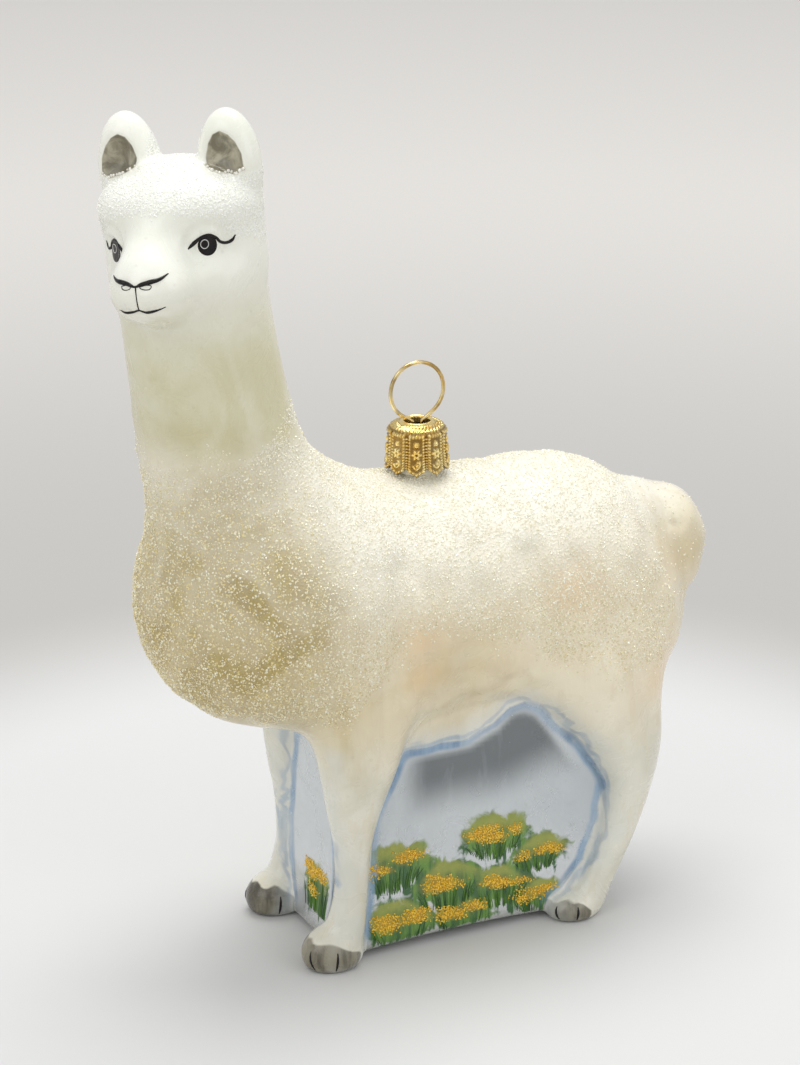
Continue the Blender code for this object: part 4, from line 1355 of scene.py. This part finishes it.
def meadow_strokes(chance):
    """Each blade's points off the glass, its half widths, its tone and the way to the glass."""
    for side in (1, -1):
        for middle, high, wide in side_tufts(side):
            for number in range(SIDE_BLADES):
                lean = chance.uniform(-1.0, 1.0)
                foot = middle + 0.62 * wide * lean
                tall = wide * chance.uniform(0.25, 0.62) * (1.0 - 0.35 * lean * lean)
                bend = 0.16 * wide * lean * BLADE_RISE ** 1.7 + chance.uniform(-0.35, 0.35) * BLADE_RISE
                low = high - 0.62 * wide + 0.22 * wide * lean * lean + chance.uniform(-0.3, 0.3)
                x, y, z = np.full(5, BESIDE * side), foot + bend, low + tall * BLADE_RISE
                width = chance.uniform(0.05, 0.13) * BLADE_TAPER
                tone = chance.uniform(0.0, 1.0) ** 1.4
                yield np.stack([x, y, z], axis=1), width, tone, (-side, 0.0, 0.0)
    middle, high, wide = FRONT_TUFT
    for number in range(FRONT_BLADES):
        lean = chance.uniform(-1.0, 1.0)
        x = middle + 0.8 * wide * lean + 0.25 * wide * lean * BLADE_RISE ** 1.7
        z = high - 0.9 * wide + wide * chance.uniform(0.7, 1.5) * BLADE_RISE
        width = chance.uniform(0.05, 0.13) * BLADE_TAPER
        tone = chance.uniform(0.0, 1.0) ** 1.4
        yield np.stack([x, np.full(5, BEFORE), z], axis=1), width, tone, (0.0, 1.0, 0.0)


def meadow_blades(finish):
    """Blades of grass painted on both panels and on the front face, where these are silvered."""
    strokes = zip(*meadow_strokes(np.random.default_rng(55)))
    starts, widths, tones, ways = (np.array(column) for column in strokes)
    places = np.empty_like(starts)
    for way in ((1.0, 0.0, 0.0), (-1.0, 0.0, 0.0), (0.0, 1.0, 0.0)):
        chosen = (ways == way).all(axis=1)
        places[chosen] = reach_skin(starts[chosen].reshape(-1, 3), way).reshape(-1, 5, 3)
    flat = places.reshape(-1, 3)
    painted = (np.abs(skin_field(flat)) < ON_SKIN) * (silver_edge(flat) > 0.35) * (flat[:, 2] > 1.5)
    painted = painted.reshape(-1, 5).all(axis=1)
    mesh = stroke_mesh(np.dstack([places, widths])[painted], sides=4)
    per_line = len(mesh.vertices) // painted.sum()
    give_value(mesh, "tone", np.repeat(tones[painted], per_line))
    hand_over("meadow_blades", mesh, finish)


def flower_glitter(skin, finish):
    """Golden glitter dabbed in short bands on the plants."""
    shape = small_shape(add_grain)
    chance = np.random.default_rng(77)
    roots, ways = skin.sow(flower_share(skin.places), FLOWER_GRAINS, chance)
    sizes = grain_sizes(chance, len(roots), 0.10, 0.20, 0.7)
    mesh = many(shape, roots + ways * 0.05, ways, sizes, chance, 0.6)
    give_tones(mesh, shape, chance.uniform(0.0, 1.0, size=len(roots)))
    lay_bake_map(mesh, shape, roots, chance)
    hand_over("meadow_flowers", mesh, finish, smooth=False)


# ---- the cap and the hanger

CAP_FLARE = 0.10           # how much the cap's wall widens at the foot
CAP_STEPS = 60             # rows of faces up the outside
PETAL_HALF = 1.46          # half width of each petal
ROPE_PITCH = 0.52          # length of one twist of the rope that frames it
ROPE_TOP = 81.55
DOT_UP = 80.25             # heights of the dot, the rosette and the crescent on each petal
ROSETTE_UP = 78.7
CRESCENT_UP = 77.05
CAP_TURN = 7.0             # degrees by which the petals are turned round the cap
KNOBS = 45.0               # round the crown's edge
RAYS = 36.0                # round the crown's face
RING_STEPS = 96


def cap_wall(share, radius):
    """A (radius, z) corner of the cap's wall, from its foot (0) to its shoulder (1)."""
    return radius + (CAP_CROWN_RADIUS - CAP_RADIUS) * share, CAP_FOOT + (CAP_SHOULDER - CAP_FOOT) * share


def cap_outline():
    """The cap's closed outline as (radius, z): up the outside, over the crown, down the inside."""
    outline = []
    for step in range(CAP_STEPS + 1):
        share = step / CAP_STEPS
        outline.append(cap_wall(share, CAP_RADIUS - 0.10 + CAP_FLARE * (1.0 - share) ** 3))
    for step in range(1, 13):
        angle = radians(7.5 * step)
        outline.append((CAP_CROWN_RADIUS - 1.6 + 1.5 * cos(angle), CAP_SHOULDER + 1.25 * sin(angle)))
    rim = CAP_TOP + EYELET_RIM
    outline += [(EYELET + 0.80, CAP_TOP - 0.03), (EYELET + 0.62, CAP_TOP + 0.06),
                (EYELET + 0.50, rim - 0.10), (EYELET + 0.36, rim), (EYELET + 0.18, rim),
                (EYELET, rim - 0.15), (EYELET, CAP_TOP - CAP_WALL),
                (CAP_CROWN_RADIUS - 1.3, CAP_TOP - CAP_WALL),
                (CAP_CROWN_RADIUS - 0.2 - CAP_WALL, CAP_SHOULDER - 0.2)]
    for step in range(1, 9):
        outline.append(cap_wall(1.0 - step / 8.0, CAP_RADIUS - 0.10 - CAP_WALL))
    return outline


def dot(across, up, size):
    """A round embossed dot."""
    return hump(np.hypot(across, up), size, 4)


def rope_twist(along_it):
    """The uneven height of a twisted rope at each place along it."""
    return 0.55 + 0.45 * np.cos(2.0 * pi * along_it / ROPE_PITCH)


def cap_relief(angle, z):
    """Height of the stamped pattern on the cap's side, and the painted shade of each place, darker the
    deeper it lies in a hollow.
    """
    turn = (angle * CAP_PETALS / (2.0 * pi)) % 1.0 - 0.5
    across = turn * 2.0 * pi * CAP_RADIUS / CAP_PETALS      # millimetres from the petal's middle
    aside = np.abs(across)
    body = ramp(PETAL_HALF - aside, -0.08, 0.08) * ramp(81.9 - z, -0.1, 0.2)
    rope = hump(aside - 1.20, 0.17) * rope_twist(z)
    for level in (ROPE_TOP, CAP_FOOT + 0.30):
        rope = np.maximum(rope, hump(z - level, 0.19) * (aside < 1.3) * rope_twist(across))
    away = np.hypot(across, z - ROSETTE_UP)
    lobes = 0.70 + 0.20 * np.cos(6.0 * np.arctan2(z - ROSETTE_UP, across))
    rosette = ramp(lobes - away, -0.05, 0.14) * ramp(away, 0.14, 0.28)
    bow = np.abs(np.hypot(across, z - CRESCENT_UP) - 0.58)
    crescent = hump(bow, 0.15) * (across + 0.9 * (CRESCENT_UP - z) > -0.40)
    pattern = np.max([dot(across, z - DOT_UP, 0.42), rosette, crescent,
                      dot(across - 0.08, z - CRESCENT_UP, 0.24)], axis=0) * (aside < 0.95)
    beads = dot(aside - 1.72, (z / 0.55) % 1.0 - 0.5, 0.24) * (z < 81.6)
    height = 0.10 * body + 0.30 * rope + 0.34 * pattern + 0.16 * beads
    # painted shade: dark in the hollows between rope, pattern and beads, less on the petals
    hollow = 1.0 - np.clip(1.5 * rope + 1.4 * pattern + 0.9 * beads, 0.0, 1.0)
    hollow *= 0.85 + 0.15 * (1.0 - body)
    return (height - 0.22) * ramp(82.3 - z, 0.0, 0.6), hollow * ramp(82.0 - z, 0.0, 0.3)


def spun_cap(work):
    """The cap's outline turned once round its middle line."""
    corners = [work.verts.new((radius, 0.0, z)) for radius, z in cap_outline()]
    edges = [work.edges.new(pair) for pair in zip(corners, corners[1:] + corners[:1])]
    bmesh.ops.spin(work, geom=corners + edges, axis=(0.0, 0.0, 1.0), cent=(0.0, 0.0, 0.0),
                   angle=2.0 * pi, steps=CAP_PETALS * PETAL_STEPS, use_merge=True)


def stamped_cap(finish):
    """The thin gold cap with its nine embossed petals, its beaded crown and its eyelet."""
    mesh = mesh_from("cap", spun_cap)
    x, y, z = corners_of(mesh).T
    radius = np.hypot(x, y)
    angle = np.arctan2(y, x) + radians(CAP_TURN)
    height, hollow = cap_relief(angle, z)
    outside = (radius > CAP_CROWN_RADIUS - 0.45) * (z < CAP_SHOULDER + 0.8)
    wave = 2.0 * np.abs((angle * CAP_PETALS / (2.0 * pi)) % 1.0 - 0.5)      # 1 between two petals
    low = np.clip(1.0 - (z - CAP_FOOT) / (CAP_SHOULDER - CAP_FOOT), 0.0, 1.0)
    push = np.where(outside, height, 0.0)
    push -= 0.16 * ramp(wave, 0.55, 1.0) * ramp(CAP_SHOULDER + 0.3 - z, 0.0, 1.2)
    crown = (z >= CAP_SHOULDER + 0.45) * (radius > EYELET + 0.62)
    knobs = np.cos(angle * KNOBS) * hump(radius - 4.22, 0.20)
    rays = np.cos(angle * RAYS + 9.0 * radius) * ramp(4.0 - radius, 0.0, 0.2) * ramp(radius, 2.7, 2.9)
    lift = np.where(crown, 0.12 * knobs + 0.09 * rays, 0.0)
    scale = (radius + push) / radius
    drop = PETAL_DROP * wave ** 1.1 * low ** 2.2
    set_corners(mesh, np.stack([x * scale, y * scale + CAP_Y, z + drop + lift], axis=1))
    # painted shade: in the petals' hollows, between the crown's knobs and rays, and dark inside the cap
    painted_recess_shade = np.where(outside, hollow, np.where(crown, 0.25 - 0.35 * (knobs + rays), 0.1))
    inside = (radius < CAP_CROWN_RADIUS - 0.25) * (z < CAP_TOP - CAP_WALL + 0.02)
    give_value(mesh, "hollow", np.clip(np.where(inside, 0.8, painted_recess_shade), 0.0, 1.0) * 0.9)
    hand_over("stamped_cap", mesh, finish, "cap", ["cap"])


def wire_hanger(finish):
    """The round wire ring and its two spring legs."""
    mouth = radians(RING_MOUTH)
    ring = []
    for step in range(RING_STEPS + 1):
        angle = mouth + (2.0 * pi - 2.0 * mouth) * step / RING_STEPS
        ring.append((RING_RADIUS * sin(angle), RING_MIDDLE - RING_RADIUS * cos(angle)))
    start_y, start_z = ring[0]
    entry = start_z - (start_y - LEG_APART) * sin(mouth) / cos(mouth)
    leg = [(LEG_SPREAD, LEG_FOOT), (LEG_SPREAD - 0.1, LEG_FOOT + 1.2), (LEG_APART + 0.45, CAP_TOP - 2.2),
           (LEG_APART + 0.1, CAP_TOP - 1.2), (LEG_APART, entry - 0.35), (LEG_APART + 0.12, entry + 0.08)]
    route = leg + ring + [(-y, z) for y, z in reversed(leg)]
    line = [(0.0, y + CAP_Y, z, WIRE / 2.0) for y, z in route]
    hand_over("wire_hanger", stroke_mesh([line], sides=16), finish, "hanger", ["hanger"])


# ---- the floor, the lights and the camera, in metres

TARGET = (0.0, 0.00084, 0.067)
VIEW_TURN = 64.0           # degrees round from the llama's front
VIEW_RISE = 20.0           # degrees above the floor
VIEW_AWAY = 0.520
LENS = 114.25
SHIFT = (-0.0160, -0.0136)
LIGHTS = (   # name, place, size and power
    ("overhead", (-0.15, 0.08, 0.87), 0.50, 4.0),
    ("side_fill", (0.75, 0.45, 0.50), 0.60, 1.0),
    ("front_fill", (0.30, -0.80, 0.55), 0.80, 1.7),
)
SKY = (0.98, 0.985, 1.0, 1.0)
SKY_STRENGTH = 0.68
FLOOR_RADIUS = 6.0


def pale_floor():
    """A wide matt sheet, nearly white, with painted shade: a soft greyer ring round the figure."""
    made, mix = new_finish("studio_floor")
    away = mix.node("ShaderNodeVectorMath", {0: mix.where}, operation="LENGTH").outputs["Value"]
    # painted shade: greyer from 9 to 15 cm out, paler again further out
    shade = mix.blend(mix.rise(away, 0.090, 0.150), (219, 219, 218), (184, 182, 178))
    mix.surface(Base_Color=mix.blend(mix.rise(away, 0.15, 0.50), shade, (221, 218, 213)),
                Roughness=0.75, Specular_IOR_Level=0.2)
    mesh = mesh_from("floor", lambda work: bmesh.ops.create_circle(
        work, cap_ends=True, segments=96, radius=FLOOR_RADIUS))
    mesh.materials.append(made)
    new_object("floor", mesh)


def softbox(name, place, size, power):
    """A square soft light that looks at the middle of the figure."""
    lamp = bpy.data.lights.new(name, "AREA")
    lamp.shape = "SQUARE"
    lamp.size = size
    lamp.energy = power
    item = new_object(name, lamp)
    item.location = place
    item.rotation_euler = (Vector(TARGET) - Vector(place)).to_track_quat("-Z", "Y").to_euler()


def studio():
    """Soft light from above and from the sides, and a pale surrounding."""
    pale_floor()
    for light in LIGHTS:
        softbox(*light)
    world = bpy.data.worlds.new("studio")
    world.use_nodes = True
    sky = world.node_tree.nodes["Background"]
    sky.inputs["Color"].default_value = SKY
    sky.inputs["Strength"].default_value = SKY_STRENGTH
    bpy.context.scene.world = world
    bpy.context.scene.view_settings.view_transform = "Standard"


def camera():
    """The camera, a little above the figure and in front of its left shoulder."""
    turn, rise = radians(VIEW_TURN), radians(VIEW_RISE)
    out = Vector((sin(turn) * cos(rise), -cos(turn) * cos(rise), sin(rise)))
    lens = bpy.data.cameras.new("camera")
    lens.lens = LENS
    lens.sensor_width = 36.0
    lens.sensor_fit = "AUTO"
    lens.shift_x, lens.shift_y = SHIFT
    lens.clip_start = 0.01
    item = new_object("camera", lens)
    item.location = Vector(TARGET) + out * VIEW_AWAY
    item.rotation_euler = (-out).to_track_quat("-Z", "Y").to_euler()
    bpy.context.scene.camera = item


def main():
    camera()
    studio()
    black = enamel("black_enamel", (14, 11, 11), (34, 28, 27), 0.12)
    # pale enamel for the painted highlight ring in each eye
    pale = enamel("highlight_enamel", (236, 236, 232), (205, 205, 200), 0.25)
    clear = glitter_finish("clear_glitter", (255, 255, 250), (246, 246, 236), 0.0)
    warm = glitter_finish("warm_glitter", (255, 254, 240), (234, 214, 136), 0.14)
    beads = glitter_finish("silver_beads", (248, 246, 238), (204, 198, 182), 0.25)
    blossom = glitter_finish("golden_glitter", (255, 222, 78), (236, 182, 34), 0.06)
    # the third colour of each gold is its painted shade and reflection
    cap_gold = gold("stamped_gold", (255, 234, 164), (250, 212, 122), (104, 64, 12), True)
    wire_gold = gold("gold_wire", (250, 232, 178), (236, 202, 130), (108, 76, 30), False)

    mesh = glass_skin()
    mark_skin(mesh)
    skin = Skin(mesh)
    glitter_coat(skin, clear, warm)
    flower_glitter(skin, blossom)
    apart = ("cap", "hanger", "pike", "eye_left", "eye_right")
    glass_nodes = [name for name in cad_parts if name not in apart]
    hand_over("glass_figure", mesh, painted_glass(), nodes=glass_nodes)
    painted_face(black, pale)
    toe_lines(black)
    ear_beads(beads)
    meadow_blades(leaf_finish())
    stamped_cap(cap_gold)
    wire_hanger(wire_gold)
    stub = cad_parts["pike"].data.materials
    stub.clear()
    stub.append(bare_glass())


main()
